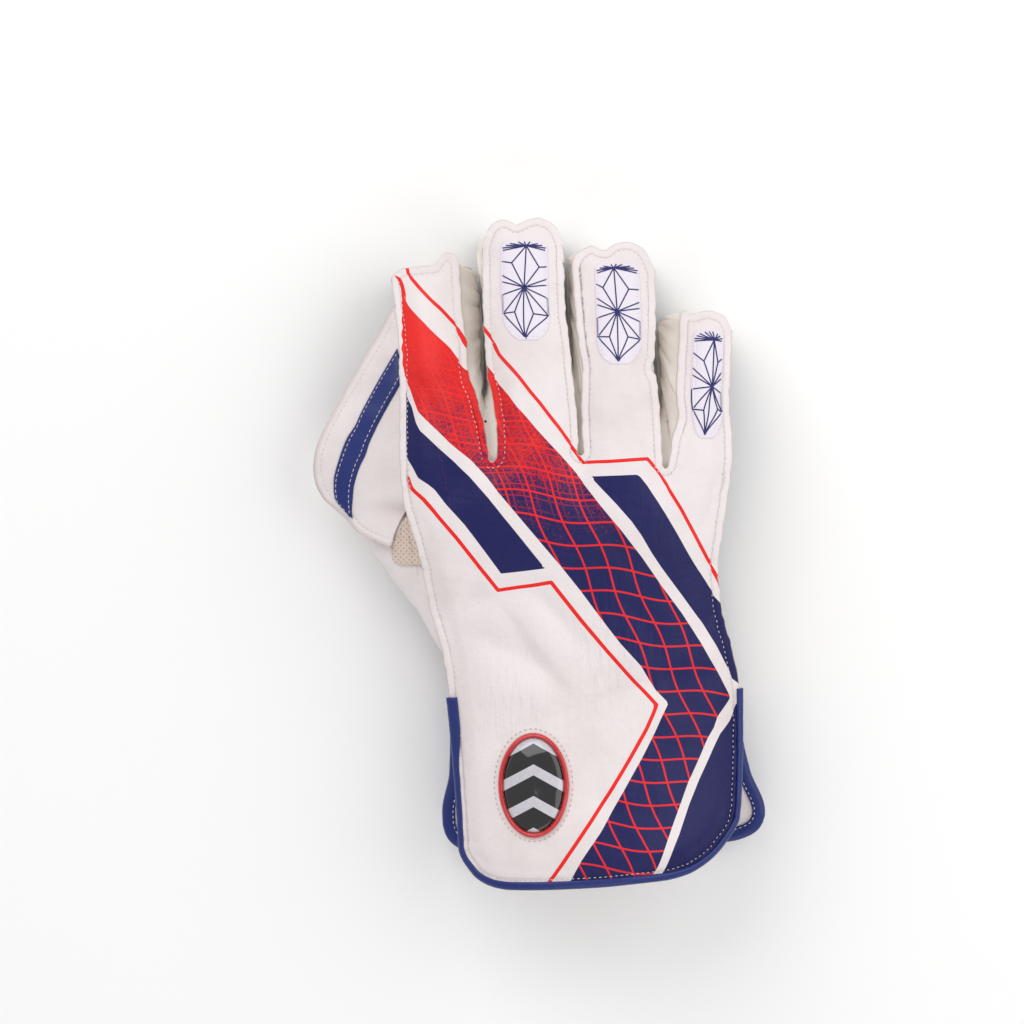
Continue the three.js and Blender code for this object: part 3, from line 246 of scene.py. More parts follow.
def share_across(place, width):
    """Share of a width at a place from 0 to 6, where 1 and 5 are the stitch lines."""
    seam = SEAM / width
    middle = mix(seam, 1 - seam, (place - 1) / 4)
    return np.where(place <= 1, seam * place, np.where(place >= 5, 1 - seam * (6 - place), middle))


def knuckles(panel, finger, place):
    """Where columns cross the knuckle line. A place over 6 lies in the gap before the next finger."""
    left = np.array([column_of(f["rows"], 1)(0.0) for f in panel["fingers"]]) * HALF_WIDTH
    right = np.array([column_of(f["rows"], 2)(0.0) for f in panel["fingers"]]) * HALF_WIDTH
    crotch = np.array(panel["crotches"])
    inside = place <= 6
    q = np.where(inside, share_across(np.minimum(place, 6), right[finger] - left[finger]), 1)
    gap = np.clip(place - 6, 0, 1)
    after = np.minimum(finger + 1, 3)
    x = np.where(inside, mix(left[finger], right[finger], q), mix(right[finger], left[after], gap))
    y = HAND_LENGTH * np.where(inside, mix(crotch[finger], crotch[finger + 1], q), crotch[finger + 1])
    y = y - np.where(inside, 0, 1.6 * np.sin(np.pi * gap))
    return dict(x=x, y=y, q=q, first=left[0], last=right[3])


def hand_grid(panel, finger, place, shares):
    """Columns down the hand: x spreads from the knuckles to the edges' table, z is ridge less arch, crowns
    and folds."""
    k = knuckles(panel, finger, place)
    whole = k["last"] - k["first"]
    across = ((k["x"] - k["first"]) / whole)[:, None]
    hem = HAND_LENGTH * column_of(panel["hem"], 1)(across) - panel["length"]
    share = shares[None, :]
    y = mix(k["y"][:, None], hem, share)
    at = -y / panel["length"]
    left, right = (column_of(panel["hand"], c)(at) * HALF_WIDTH for c in (1, 2))
    width = right - left
    off = (k["x"] - k["first"])[:, None]
    inner = left + SEAM + (off - SEAM) / (whole - 2 * SEAM) * (width - 2 * SEAM)
    spread = np.where(off < SEAM, left + off, np.where(whole - off < SEAM, right - (whole - off), inner))
    blend = np.where((off < SEAM) | (whole - off < SEAM), smooth(share / 0.01), smooth(share / COLUMN_SPREAD))
    x = mix(k["x"][:, None], spread, blend)
    side = np.abs(2 * (x - left) / width - 1)
    ridge, arch = (column_of(panel["hand"], c)(at) for c in (3, 4))
    flat = side**ARCH_POWER if panel["folded"] else smooth((side - PALM_FLAT) / (1 - PALM_FLAT))
    crown = panel["crown"] * ((2 * k["q"] - 1) ** 2)[:, None] * (1 - smooth(at / CROWN_FADE))
    z = panel["floor"] + panel["height"] * (ridge - arch * flat) - crown
    if panel["folded"]:
        z = z - fold_depth(x, y)
    return np.stack([x, y, z], -1)


def fold_depth(x, y):
    """The soft folds: each a bell across a short turned line."""
    depth = 0
    for fx, fy, length, width, turn, deep in FOLDS:
        along, across = turned_place(x / HALF_WIDTH - fx, (y + fy * HAND_LENGTH) / HALF_WIDTH, turn)
        depth = depth + deep * CROWN * bell(along / length) * bell(across / width)
    return depth


def finger_grid(panel, f, place, shares):
    """Columns up one finger: from the knuckle line to the tip's setback, bending down by a power of y."""
    finger = np.full(len(place), f)
    base = hand_grid(panel, finger, place, np.array([0.0]))[:, 0]
    k = knuckles(panel, finger, place)
    spec, crotch = panel["fingers"][f], BACK["crotches"]
    tip_y = HAND_LENGTH * (crotch[f] + crotch[f + 1]) / 2 + FINGER_LENGTH * BACK_FINGERS[f]["length"]
    tip_y -= TIP_DEPTH * spec.get("short", 0)
    left, right = (column_of(spec["rows"], c)(shares)[None] * HALF_WIDTH for c in (1, 2))
    q = share_across(place[:, None], right - left)
    x = mix(left, right, q)
    if panel["folded"]:
        tip_width = (column_of(spec["rows"], 2)(1.0) - column_of(spec["rows"], 1)(1.0)) * HALF_WIDTH
        setback = column_of(spec["lobes"], 1)(share_across(place, tip_width))[:, None]
    else:
        setback = through(np.arange(7), spec["tip"])(place)[:, None]
    y = mix(base[:, 1:2], tip_y, shares[None]) - TIP_DEPTH * setback * shares[None] ** 2
    crown = panel["crown"] * ((2 * q - 1) ** 2 - (2 * k["q"][:, None] - 1) ** 2 * (1 - shares[None]))
    bent = np.maximum(0, (y - base[:, 1:2]) / (tip_y - base[:, 1:2]))
    z = base[:, 2:] - (base[:, 2:] - panel["tip_height"]) * bent ** panel["bend"] - crown * shares[None]
    return np.stack([x, y, z], -1)


SEAM_PLACES = (0.0, 0.22, 0.5, 0.8, 1.0)
PLACES = np.concatenate([SEAM_PLACES[:-1], np.linspace(1, 5, 29), 6 - np.array(SEAM_PLACES[-2::-1])])
GAP_PLACES = np.array([6.33, 6.67])


def columns_of_hand():
    """All columns across a panel: which finger each belongs to and its place there."""
    finger, place = [], []
    for f in range(4):
        row = PLACES if f == 3 else np.concatenate([PLACES, GAP_PLACES])
        finger.append(np.full(len(row), f))
        place.append(row)
    return np.concatenate(finger), np.concatenate(place)


def panel_grid(panel, hand_shares, finger_rows):
    """Grid of a whole panel, columns by rows: hem, knuckle line, fingertips. keep says which cells exist."""
    finger, place = columns_of_hand()
    hand = hand_grid(panel, finger, place, hand_shares)
    shares = 1 - (1 - np.linspace(0, 1, finger_rows + 1)[1:]) ** 1.15
    tips = np.repeat(hand[:, -1:], finger_rows, 1)
    for f in range(4):
        own = (finger == f) & (place <= 6)
        tips[own] = finger_grid(panel, f, place[own], shares)
    grid = np.concatenate([hand, tips], 1)
    keep = np.ones((len(finger) - 1, grid.shape[1] - 1), bool)
    loose = (place[:-1] >= 6) | (place[1:] > 6)
    keep[loose, len(hand_shares) - 1:] = False
    return grid, keep


def grid_faces(shape, keep=None):
    """Quads of a grid of columns by rows, seen from above anticlockwise."""
    columns, rows = shape
    a = np.arange(columns * rows).reshape(columns, rows)
    quads = np.stack([a[:-1, :-1], a[1:, :-1], a[1:, 1:], a[:-1, 1:]], -1)
    return quads.reshape(-1, 4) if keep is None else quads[keep]


def used_only(points, faces, *fields):
    """The points that faces use, renumbered, with the same pick of each field."""
    used, flat = np.unique(faces, return_inverse=True)
    return points[used], flat.reshape(faces.shape), [f[used] for f in fields]


def normals_of(points, faces):
    """Unit normal at each point, the sum of its quads' cross products of diagonals."""
    p = points[faces]
    n = np.cross(p[:, 2] - p[:, 0], p[:, -1] - p[:, 1])
    out = np.zeros_like(points)
    for k in range(faces.shape[1]):
        np.add.at(out, faces[:, k], n)
    return out / np.maximum(np.linalg.norm(out, axis=1, keepdims=True), 1e-12)


def free_edges(faces):
    """Directed edges that only one face has."""
    e = np.concatenate([np.stack([faces[:, k], faces[:, (k + 1) % faces.shape[1]]], 1)
                        for k in range(faces.shape[1])])
    size = faces.max() + 1
    key, back = e[:, 0] * size + e[:, 1], e[:, 1] * size + e[:, 0]
    return e[~np.isin(key, back)]


def outline_of(points, faces):
    """The points along a surface's longest free edge, in order."""
    return points[max(loops_of(free_edges(faces)), key=len)]


def loops_of(edges):
    """Chains directed edges head to tail into closed loops of point numbers."""
    after = dict(edges.tolist())
    loops = []
    while after:
        start, here = next(iter(after.items()))
        del after[start]
        loop = [start]
        while here != start:
            loop.append(here)
            here = after.pop(here)
        loops.append(np.array(loop))
    return loops


def closed(upper, lower, faces):
    """Two layers of one grid, the lower turned over, joined by a rim round the free edges."""
    upper, lower = upper.reshape(-1, 3), lower.reshape(-1, 3)
    rim, count = free_edges(faces), len(upper)
    sides = np.stack([rim[:, 1], rim[:, 0], rim[:, 0] + count, rim[:, 1] + count], 1)
    return np.concatenate([upper, lower]), np.concatenate([faces, faces[:, ::-1] + count, sides])


def slab(points, faces, normals, above, below):
    """A wall: the surface moved along its normals both ways and closed."""
    return closed(points + normals * above, points - normals * below, faces)


def ring_faces(rows, places, first=0):
    """Quads of a tube of rings, each place joined to the next one round and the ring after. first turns
    the corners on, which sets the diagonal that each quad is split along."""
    a = np.arange(rows * places).reshape(rows, places)
    nxt = np.roll(a, -1, 1)
    return np.roll(np.stack([a[:-1], a[1:], nxt[1:], nxt[:-1]], -1).reshape(-1, 4), first, 1)


def to_frame(points):
    """Millimetres from the knuckle line to the frame's metres: moved, then scaled."""
    return (points + SHIFT) * 0.001


def link_object(name, data):
    """A new object of the scene that holds the given data."""
    obj = bpy.data.objects.new(name, data)
    bpy.context.scene.collection.objects.link(obj)
    return obj


def make_mesh(name, points, faces, fields=None):
    """An object at the origin from arrays in millimetres; fields are float attributes on its points."""
    mesh = bpy.data.meshes.new(name)
    mesh.vertices.add(len(points))
    mesh.vertices.foreach_set("co", to_frame(points).astype(np.float32).ravel())
    faces = np.asarray(faces)
    sides = faces.shape[1]
    mesh.loops.add(faces.size)
    mesh.loops.foreach_set("vertex_index", faces.ravel().astype(np.int32))
    mesh.polygons.add(len(faces))
    mesh.polygons.foreach_set("loop_start", np.arange(0, faces.size, sides, dtype=np.int32))
    mesh.update(calc_edges=True)
    mesh.polygons.foreach_set("use_smooth", np.ones(len(faces), bool))
    for key, values in (fields or {}).items():
        layer = mesh.attributes.new(key, "FLOAT", "POINT")
        layer.data.foreach_set("value", np.asarray(values, np.float32))
    return link_object(name, mesh)


def recalculate(obj):
    """Turns all faces of a mesh outwards."""
    bm = bmesh.new()
    bm.from_mesh(obj.data)
    bmesh.ops.recalc_face_normals(bm, faces=bm.faces)
    bm.to_mesh(obj.data)
    bm.free()


def join_faces(obj, extra, soft=True):
    """Adds faces of another side count to a mesh that has its points already, and turns all outwards."""
    bm = bmesh.new()
    bm.from_mesh(obj.data)
    bm.verts.ensure_lookup_table()
    for face in extra:
        bm.faces.new([bm.verts[int(k)] for k in face]).smooth = soft
    bm.to_mesh(obj.data)
    bm.free()
    recalculate(obj)


def dress(obj, material, slot, *nodes):
    """Gives a piece its material, its body and the nodes that it stands for; slot is not used."""
    obj.data.materials.append(material)
    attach(obj, "root")
    if nodes:
        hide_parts(*nodes)
    return obj


def surface_below(points, faces):
    """A search tree of a surface in millimetres."""
    return BVHTree.FromPolygons([Vector(p) for p in points.tolist()], faces.tolist())


def lay_on(tree, x, y, up=1.0, top=200.0):
    """Points and normals where upright lines through (x, y) meet a surface first, from above or below,
    in the shape that x and y have."""
    out, face = [], []
    for a, b in zip(np.ravel(x), np.ravel(y)):
        hit, normal, _, _ = tree.ray_cast(Vector((a, b, top * up)), Vector((0, 0, -up)))
        if hit is None:
            hit, normal, _, _ = tree.find_nearest(Vector((a, b, 50.0)))
        out.append(hit)
        face.append(normal if normal.z * up > 0 else -normal)
    shape = np.shape(x) + (3,)
    return np.array(out).reshape(shape), np.array(face).reshape(shape)


def polygon_distance(x, y, corners):
    """Distance from a closed outline, negative inside, by the nearest of its sides and a crossing count."""
    c = np.array(corners, float)
    d = np.full(np.shape(x), 1e9)
    odd = np.zeros(np.shape(x), bool)
    for (ax, ay), (bx, by) in zip(c, np.roll(c, -1, 0)):
        ex, ey = bx - ax, by - ay
        t = np.clip(((x - ax) * ex + (y - ay) * ey) / (ex * ex + ey * ey + 1e-12), 0, 1)
        d = np.minimum(d, np.hypot(x - ax - t * ex, y - ay - t * ey))
        cross = ((ay > y) != (by > y)) & (x < ex * (y - ay) / (by - ay + 1e-12) + ax)
        odd ^= cross
    return np.where(odd, -d, d)


def line_distance(x, y, line):
    """Distance from an open line, its sign the side, by the nearest of its stretches. Where two stretches
    are as near, the one that the point lies further aside of gives the sign."""
    c = np.array(line, float)
    best, aside = np.full(np.shape(x), 1e9), np.zeros(np.shape(x))
    for (ax, ay), (bx, by) in zip(c[:-1], c[1:]):
        ex, ey = bx - ax, by - ay
        t = np.clip(((x - ax) * ex + (y - ay) * ey) / (ex * ex + ey * ey), 0, 1)
        d = np.hypot(x - ax - t * ex, y - ay - t * ey)
        off = (ex * (y - ay) - ey * (x - ax)) / np.hypot(ex, ey)
        taken = (d < best - 1e-6) | ((np.abs(d - best) <= 1e-6) & (np.abs(off) > np.abs(aside)))
        best, aside = np.where(taken, d, best), np.where(taken, off, aside)
    return best * np.sign(aside)


def rounded(line, steps=6):
    """A line through the given points with soft bends, by a cubic over its running length."""
    c = np.array(line, float)
    t = running_length(c)
    at = np.linspace(0, t[-1], steps * len(c))
    return np.stack([through(t, c[:, 0])(at), through(t, c[:, 1])(at)], 1)


# The print on the back, in pixels of the photograph. Each outline runs past the leather's edge.
MAIN_UPPER = ((402, 262), (402, 290), (405.5, 298), (410, 307), (420, 319), (430, 330), (440, 340),
              (450, 350), (460, 364), (466, 372))
MAIN_UPPER_2 = ((484, 362), (491, 371), (500, 385), (510, 397), (518, 409), (560, 457), (580, 480),
                (600, 506), (620, 530), (640, 556), (660, 585), (680, 612), (700, 643), (715, 670),
                (728.5, 697))
MAIN_RETURN = ((716, 715), (712, 727), (706, 737), (698, 755), (692, 768), (686, 781), (678, 803),
               (670, 825), (661, 850), (656, 862), (640, 893))
MAIN_LOWER = ((562, 893), (580, 858), (600, 829), (620, 793), (640, 757), (655, 728), (666.5, 702.5),
              (655, 690), (640, 665), (620, 643), (600, 617), (580, 590), (560, 565), (500, 494),
              (490, 482), (470, 460), (450, 443), (440, 433), (427, 421), (420, 413), (415, 400),
              (411, 388), (406, 378), (402, 368))
UPPER_PANEL = ((590, 477), (635, 475), (638, 477), (645, 486), (655, 501), (665, 516), (675, 533),
               (685, 551), (695, 568), (705, 583), (712, 594), (720, 604), (745, 640), (745, 690),
               (731, 678), (728, 672), (715, 647), (700, 622), (680, 594), (660, 567), (650, 552),
               (640, 535), (630, 521), (615, 504), (600, 488))
LEFT_PANEL = ((403.5, 386), (405, 388), (410, 400), (414, 409), (418, 424), (422, 432), (440, 449),
              (455, 462), (470, 477), (490, 500), (500, 512), (545, 567.5), (501.5, 572.5), (485, 550),
              (465, 524), (445, 502), (436, 490), (430, 485), (420, 478), (415, 468), (409, 458),
              (404.5, 444))
CUFF_PANEL = ((760, 690), (734, 704), (728, 720), (718, 733), (708, 755), (697, 778), (687, 803),
              (677, 832), (666, 858), (650, 893), (760, 893))
UPPER_LINE = ((404, 255), (407, 269), (408, 273), (412, 280), (418, 287), (430, 300), (440, 310),
              (450, 321), (458, 330), (462, 338), (466, 348), (472, 356), (478, 352), (479, 336), (482, 326),
              (489, 336), (495, 345), (500, 356), (510, 368), (520, 380), (530, 393),
              (540, 405), (560, 432), (570, 446), (577, 456), (583, 463.5), (600, 462.5), (645, 459.5),
              (655, 471), (664, 484), (672, 497), (680, 510), (692, 533), (704, 556), (713, 572),
              (722, 592), (740, 640))
LOWER_LINE = ((398, 466), (410, 478), (413, 487), (416, 491), (425, 499), (440, 517), (458, 538),
              (480, 566), (498.5, 589), (530, 584.5), (551, 581), (580, 618), (606, 649.5), (626, 672),
              (655.5, 704), (652, 713), (645, 728), (629, 756), (610, 788), (590, 819), (548, 881),
              (536, 900))
CURL_LINE = ((388, 276), (396, 278), (400, 280), (403, 286), (405, 295))
RAW_LINE = ((391, 270), (402, 287), (403.5, 300), (401.5, 307), (403.5, 314), (401.5, 321), (403.5, 328),
            (401.5, 335), (403.5, 342), (402, 349), (404, 356), (403, 364), (405.5, 376), (407, 400),
            (408, 440), (410, 480), (412, 512), (416, 530))


def pixels_of(points):
    """The photograph's pixels over the given points: scaled from the centre, v running down."""
    return CENTRE_PIXEL[0] + points[:, 0] / PIXEL, CENTRE_PIXEL[1] - points[:, 1] / PIXEL


def print_fields(points):
    """Signed distances in millimetres from the printed shapes, read from above."""
    u, v = pixels_of(points)
    main = MAIN_UPPER + MAIN_UPPER_2 + MAIN_RETURN + MAIN_LOWER
    raw = line_distance(u, v, RAW_LINE)
    return {
        "main_band": PIXEL * polygon_distance(u, v, main),
        "side_panels": PIXEL * np.minimum.reduce([polygon_distance(u, v, shape) for shape in
                                                  (UPPER_PANEL, LEFT_PANEL, CUFF_PANEL)]),
        "upper_line": PIXEL * line_distance(u, v, UPPER_LINE),
        "lower_line": PIXEL * line_distance(u, v, LOWER_LINE),
        "curl_line": PIXEL * line_distance(u, v, CURL_LINE),
        "raw_strip": PIXEL * np.where(v < 530, raw, -20.0),
        "fine_wrinkles": 0.2 + np.exp(-((u - 618) / 34) ** 2 - ((v - 655) / 60) ** 2)
        + 0.6 * np.exp(-((u - 520) / 40) ** 2 - ((v - 700) / 45) ** 2),
        "down_band": np.clip((v - 300) / 560, 0, 1),
    }


def edge_distance(points, outline):
    """Distance of each point from an outline seen from above, and how far round the outline it lies."""
    along = running_length(outline[:, :2])
    best, at = np.full(len(points), 1e9), np.zeros(len(points))
    for part in np.array_split(np.arange(len(points)), 12):
        d = np.hypot(points[part, None, 0] - outline[None, :, 0], points[part, None, 1] - outline[None, :, 1])
        near = d.argmin(1)
        best[part], at[part] = d[np.arange(len(part)), near], along[near]
    return best, at


def inset_path(outline, inset, pitch=1.0):
    """An outline moved inwards seen from above, without the stretches that fold over themselves."""
    flat = outline[:, :2]
    travel = np.roll(flat, -2, 0) - np.roll(flat, 2, 0)
    travel /= np.maximum(np.linalg.norm(travel, axis=1, keepdims=True), 1e-9)
    moved = flat + np.stack([-travel[:, 1], travel[:, 0]], 1) * np.reshape(inset, (-1, 1))
    d = np.hypot(moved[:, None, 0] - flat[None, :, 0], moved[:, None, 1] - flat[None, :, 1]).min(1)
    return resampled(moved[d > 0.9 * inset], pitch)


def unbroken(path):
    """The stretches of a path between its jumps."""
    jumps = np.hypot(*np.diff(path[:, :2], axis=0).T)
    return [part for part in np.split(path, np.nonzero(jumps > 3)[0] + 1) if len(part) > 5]


def rows_on(tree, path, up=1.0, top=200.0):
    """The unbroken stretches of a path laid on a surface."""
    return [lay_on(tree, part[:, 0], part[:, 1], up, top) for part in unbroken(path)]


def resampled(path, pitch):
    """The same path with even steps."""
    t = running_length(path)
    at = np.arange(0, t[-1], pitch)
    return np.stack([np.interp(at, t, path[:, k]) for k in range(path.shape[1])], 1)


def stitch_mesh(runs, length=STITCH_LENGTH, pitch=STITCH_PITCH, thread=THREAD, sink=0.1):
    """Stitches along runs of (points, normals): each a short thread with pressed-in ends.
    A stitch is a ring of six points carried through five places on a low arch."""
    rows = []
    for points, normals in runs:
        t = running_length(points)
        starts = np.arange(pitch * 0.3, t[-1] - length, pitch)
        if len(starts) == 0:
            continue
        along = starts[:, None] + length * np.linspace(0, 1, 5)[None]
        place = np.stack([np.interp(along, t, points[:, k]) for k in range(3)], -1)
        up = np.stack([np.interp(along, t, normals[:, k]) for k in range(3)], -1)
        up /= np.linalg.norm(up, axis=-1, keepdims=True)
        travel = place[:, -1:] - place[:, :1]
        keep = np.linalg.norm(travel[:, 0], axis=1) > 0.6 * length
        travel = travel / np.maximum(np.linalg.norm(travel, axis=-1, keepdims=True), 1e-9)
        side = np.cross(travel, up)
        arch = np.array([-0.9, 0.45, 0.8, 0.45, -0.9])[None, :, None] * thread
        size = np.array([0.45, 1, 1, 1, 0.45])[None, :, None, None] * thread
        turn = np.arange(6) * np.pi / 3
        ring = (side[:, :, None] * np.cos(turn)[None, None, :, None]
                + up[:, :, None] * np.sin(turn)[None, None, :, None] * 0.75)
        body = (place + up * (arch - sink))[:, :, None] + ring * size
        rows.append(body[keep].reshape(-1, 30, 3))
    stitches = np.concatenate(rows)
    k = np.arange(6)
    after = (k + 1) % 6
    quads = np.concatenate([np.stack([k, after, after + 6, k + 6], 1) + 6 * r for r in range(4)])
    caps = np.array([[3, 2, 1, 0], [5, 4, 3, 0], [24, 25, 26, 27], [24, 27, 28, 29]])
    one = np.concatenate([quads, caps])
    faces = (one[None] + 30 * np.arange(len(stitches))[:, None, None]).reshape(-1, 4)
    return stitches.reshape(-1, 3), faces


def sewn(name, runs, material, slot="white_leather", **sizes):
    """A piece of stitches along the given runs."""
    points, faces = stitch_mesh(runs, **sizes)
    obj = make_mesh(name, points, faces)
    recalculate(obj)
    return dress(obj, material, slot)


# Materials
def linear(r, g, b):
    """A colour given as the photograph's 0 to 255 values."""
    c = np.array([r, g, b]) / 255
    c = np.where(c <= 0.04045, c / 12.92, ((c + 0.055) / 1.055) ** 2.4)
    return (*c.tolist(), 1.0)


WHITE = linear(235, 226, 227)
NAVY = linear(24, 25, 86)
TRIM_NAVY = linear(28, 44, 113)
RED = linear(238, 35, 30)
DEEP_RED = linear(190, 24, 34)
RAW_EDGE = linear(216, 204, 186)
GREIGE = linear(246, 240, 234)
BEIGE = linear(210, 188, 174)
# The warm tint of dust, also used for the painted shade in seam hollows.
DUST_AND_SHADE = linear(205, 194, 184)
PRINT_EDGE = 0.05
RIB_TURNS = 6460.0


class Nodes:
    """A node tree with short calls for the nodes that these materials use."""

    def __init__(self, tree):
        """Keeps the tree that the nodes go into."""
        self.tree = tree

    def add(self, kind, **settings):
        """A new node with its settings."""
        node = self.tree.nodes.new(kind)
        for key, value in settings.items():
            setattr(node, key, value)
        return node

    def link(self, a, b):
        """Leads one socket to another."""
        self.tree.links.new(a, b)

    def put(self, socket, value):
        """Links a socket to another or sets its number."""
        if isinstance(value, bpy.types.NodeSocket):
            self.link(value, socket)
        else:
            socket.default_value = value

    def filled(self, kind, values, **settings):
        """A new node whose named or numbered inputs hold the given values."""
        node = self.add(kind, **settings)
        for key, value in values.items():
            self.put(node.inputs[key], value)
        return node

    def math(self, operation, a, b=0.0, c=0.0):
        """One sum of up to three numbers."""
        return self.filled("ShaderNodeMath", {0: a, 1: b, 2: c}, operation=operation).outputs[0]

    def times(self, a, b):
        """a times b."""
        return self.math("MULTIPLY", a, b)

    def times_plus(self, a, b, c):
        """a times b, plus c."""
        return self.math("MULTIPLY_ADD", a, b, c)

    def rest(self, value):
        """One less the value."""
        return self.math("SUBTRACT", 1.0, value)

    def away(self, value, middle):
        """How far a value is from a middle one, either way."""
        return self.math("ABSOLUTE", self.math("SUBTRACT", value, middle))

    def blend(self, share, a, b, kind="MIX"):
        """Two colours mixed by a share of the second."""
        return self.filled("ShaderNodeMix", {0: share, 6: a, 7: b}, data_type="RGBA",
                           blend_type=kind).outputs[2]

    def field(self, name):
        """An attribute of the mesh's own points."""
        return self.add("ShaderNodeAttribute", attribute_name=name).outputs["Fac"]

    def step(self, value, low, high):
        """Zero below low, one above high, an even S between."""
        return self.filled("ShaderNodeMapRange", {"Value": value, "From Min": low, "From Max": high},
                           interpolation_type="SMOOTHSTEP").outputs["Result"]

    def noise(self, vector, scale, detail=3.0, roughness=0.55):
        """Soft clouds between 0 and 1."""
        return self.filled("ShaderNodeTexNoise", {"Vector": vector, "Scale": scale, "Detail": detail,
                                                  "Roughness": roughness}).outputs["Fac"]

    def cells(self, vector, scale):
        """Distance from the nearest of many scattered points."""
        return self.filled("ShaderNodeTexVoronoi", {"Vector": vector, "Scale": scale}).outputs["Distance"]

    def bump(self, height, strength, distance, normal=None):
        """A normal leaned by the slope of a height, over another normal if one is given."""
        values = {"Height": height, "Strength": strength, "Distance": distance}
        if normal is not None:
            values["Normal"] = normal
        return self.filled("ShaderNodeBump", values).outputs["Normal"]

    def mapped(self, vector, rotation=0.0, scale=(1.0, 1.0, 1.0)):
        """A place turned about the upright axis and scaled."""
        values = {"Vector": vector, "Rotation": (0.0, 0.0, rotation), "Scale": scale}
        return self.filled("ShaderNodeMapping", values).outputs["Vector"]

    def split(self, vector):
        """The x, y and z of a vector."""
        return self.filled("ShaderNodeSeparateXYZ", {0: vector}).outputs

    def group(self, tree, **values):
        """A shared group with its named inputs filled."""
        return self.filled("ShaderNodeGroup", values, node_tree=tree).outputs

    def place(self):
        """The point's own place on the object."""
        return self.add("ShaderNodeTexCoord").outputs["Object"]


def new_group(name, inputs, outputs):
    """A node group with named sockets; returns its nodes, its inputs and its outputs."""
    tree = bpy.data.node_groups.new(name, "ShaderNodeTree")
    for key, kind, value in inputs:
        socket = tree.interface.new_socket(key, in_out="INPUT", socket_type=kind)
        if value is not None:
            socket.default_value = value
    for key, kind in outputs:
        tree.interface.new_socket(key, in_out="OUTPUT", socket_type=kind)
    n = Nodes(tree)
    return n, n.add("NodeGroupInput").outputs, n.add("NodeGroupOutput").inputs


def leather_grain():
    """Pebbled grain: small cells with valleys, over soft unevenness and stretched fine creases."""
    n, given, made = new_group(
        "leather grain",
        (("Vector", "NodeSocketVector", None), ("Grain", "NodeSocketFloat", 0.5),
         ("Creases", "NodeSocketFloat", 0.5)),
        (("Normal", "NodeSocketVector"),))
    place = given["Vector"]
    small = n.step(n.cells(place, 1150.0), 0.05, 0.75)
    fine = n.noise(place, 2400.0, 2.0)
    soft = n.noise(place, 28.0, 4.0, 0.6)
    slanted = n.mapped(place, 0.5, (0.35, 1.0, 1.0))
    crease = n.step(n.away(n.noise(slanted, 150.0, 5.0, 0.62), 0.5), 0.0, 0.09)
    grain = n.times(n.times_plus(small, -0.6, n.times(fine, 0.4)), given["Grain"])
    height = n.times_plus(n.times(crease, given["Creases"]), 0.9, grain)
    n.link(n.bump(soft, 0.5, 0.0022, n.bump(height, 0.55, 0.00022)), made["Normal"])
    return n.tree


def wear_and_seam_shade():
    """Dust and handling, with painted shade: a colour tinted warm and darker in soft patches of dust, and
    darker in the hollows near a seam as painted shade.
    """
    n, given, made = new_group(
        "wear_and_seam_shade", (("Color", "NodeSocketColor", None), ("Vector", "NodeSocketVector", None),
                 ("Seam", "NodeSocketFloat", 0.0), ("Amount", "NodeSocketFloat", 0.5)),
        (("Color", "NodeSocketColor"), ("Rough", "NodeSocketFloat")))
    patch = n.step(n.noise(given["Vector"], 17.0, 5.0, 0.62), 0.42, 0.72)
    speck = n.step(n.noise(given["Vector"], 210.0, 3.0, 0.6), 0.55, 0.8)
    dust_and_seam_shade = n.times(n.times_plus(patch, 0.5, n.times(speck, 0.12)), given["Amount"])
    # Painted shade: the seam input darkens the hollows along a seam with the same warm tint as the dust.
    dust_and_seam_shade = n.math("MAXIMUM", dust_and_seam_shade, n.times(given["Seam"], 0.55))
    dusty_and_shaded = n.blend(1.0, given["Color"], DUST_AND_SHADE, "MULTIPLY")
    n.link(n.blend(dust_and_seam_shade, given["Color"], dusty_and_shaded), made["Color"])
    n.link(n.times_plus(patch, 0.12, 0.44), made["Rough"])
    return n.tree


def lattice():
    """Two families of slightly waved thin lines that cross into long diamonds."""
    n, given, made = new_group(
        "diamond net", (("Vector", "NodeSocketVector", None), ("Pitch", "NodeSocketFloat", 0.008),
                        ("Width", "NodeSocketFloat", 0.0006)), (("Mask", "NodeSocketFloat"),))
    x, y, _ = n.split(given["Vector"])
    families = []
    for ax, ay, wave in ((0.93, 0.37, 0.9), (0.1, 0.99, -1.1)):
        along = n.times_plus(x, ax, n.times(y, ay))
        across = n.times_plus(x, -ay, n.times(y, ax))
        bent = n.times(n.math("SINE", n.times(across, 130.0)), 0.0011 * wave)
        turns = n.math("DIVIDE", n.math("ADD", along, bent), given["Pitch"])
        far = n.times(n.away(n.math("FRACT", turns), 0.5), given["Pitch"])
        families.append(n.math("DIVIDE", far, given["Width"]))
    near = n.math("MINIMUM", *families)
    n.link(n.rest(n.step(near, 0.42, 0.58)), made["Mask"])
    return n.tree


GRAIN, WEAR_AND_SEAM_SHADE, NET = leather_grain(), wear_and_seam_shade(), lattice()


def new_material(name, roughness=0.5, specular=0.3, coat=0.0, sheen=0.0, coat_roughness=0.18):
    """A material with its shader; steady values sit on the shader's own sockets."""
    material = bpy.data.materials.new(name)
    material.use_nodes = True
    shader = material.node_tree.nodes["Principled BSDF"]
    for key, value in (("Roughness", roughness), ("Specular IOR Level", specular), ("Coat Weight", coat),
                       ("Coat Roughness", coat_roughness), ("Sheen Weight", sheen)):
        shader.inputs[key].default_value = value
    return material, Nodes(material.node_tree), shader


def lead(n, shader, colour, roughness=None, normal=None):
    """Leads what changes over the surface to the shader."""
    for key, value in (("Base Color", colour), ("Roughness", roughness), ("Normal", normal)):
        if value is not None:
            n.link(value, shader.inputs[key])


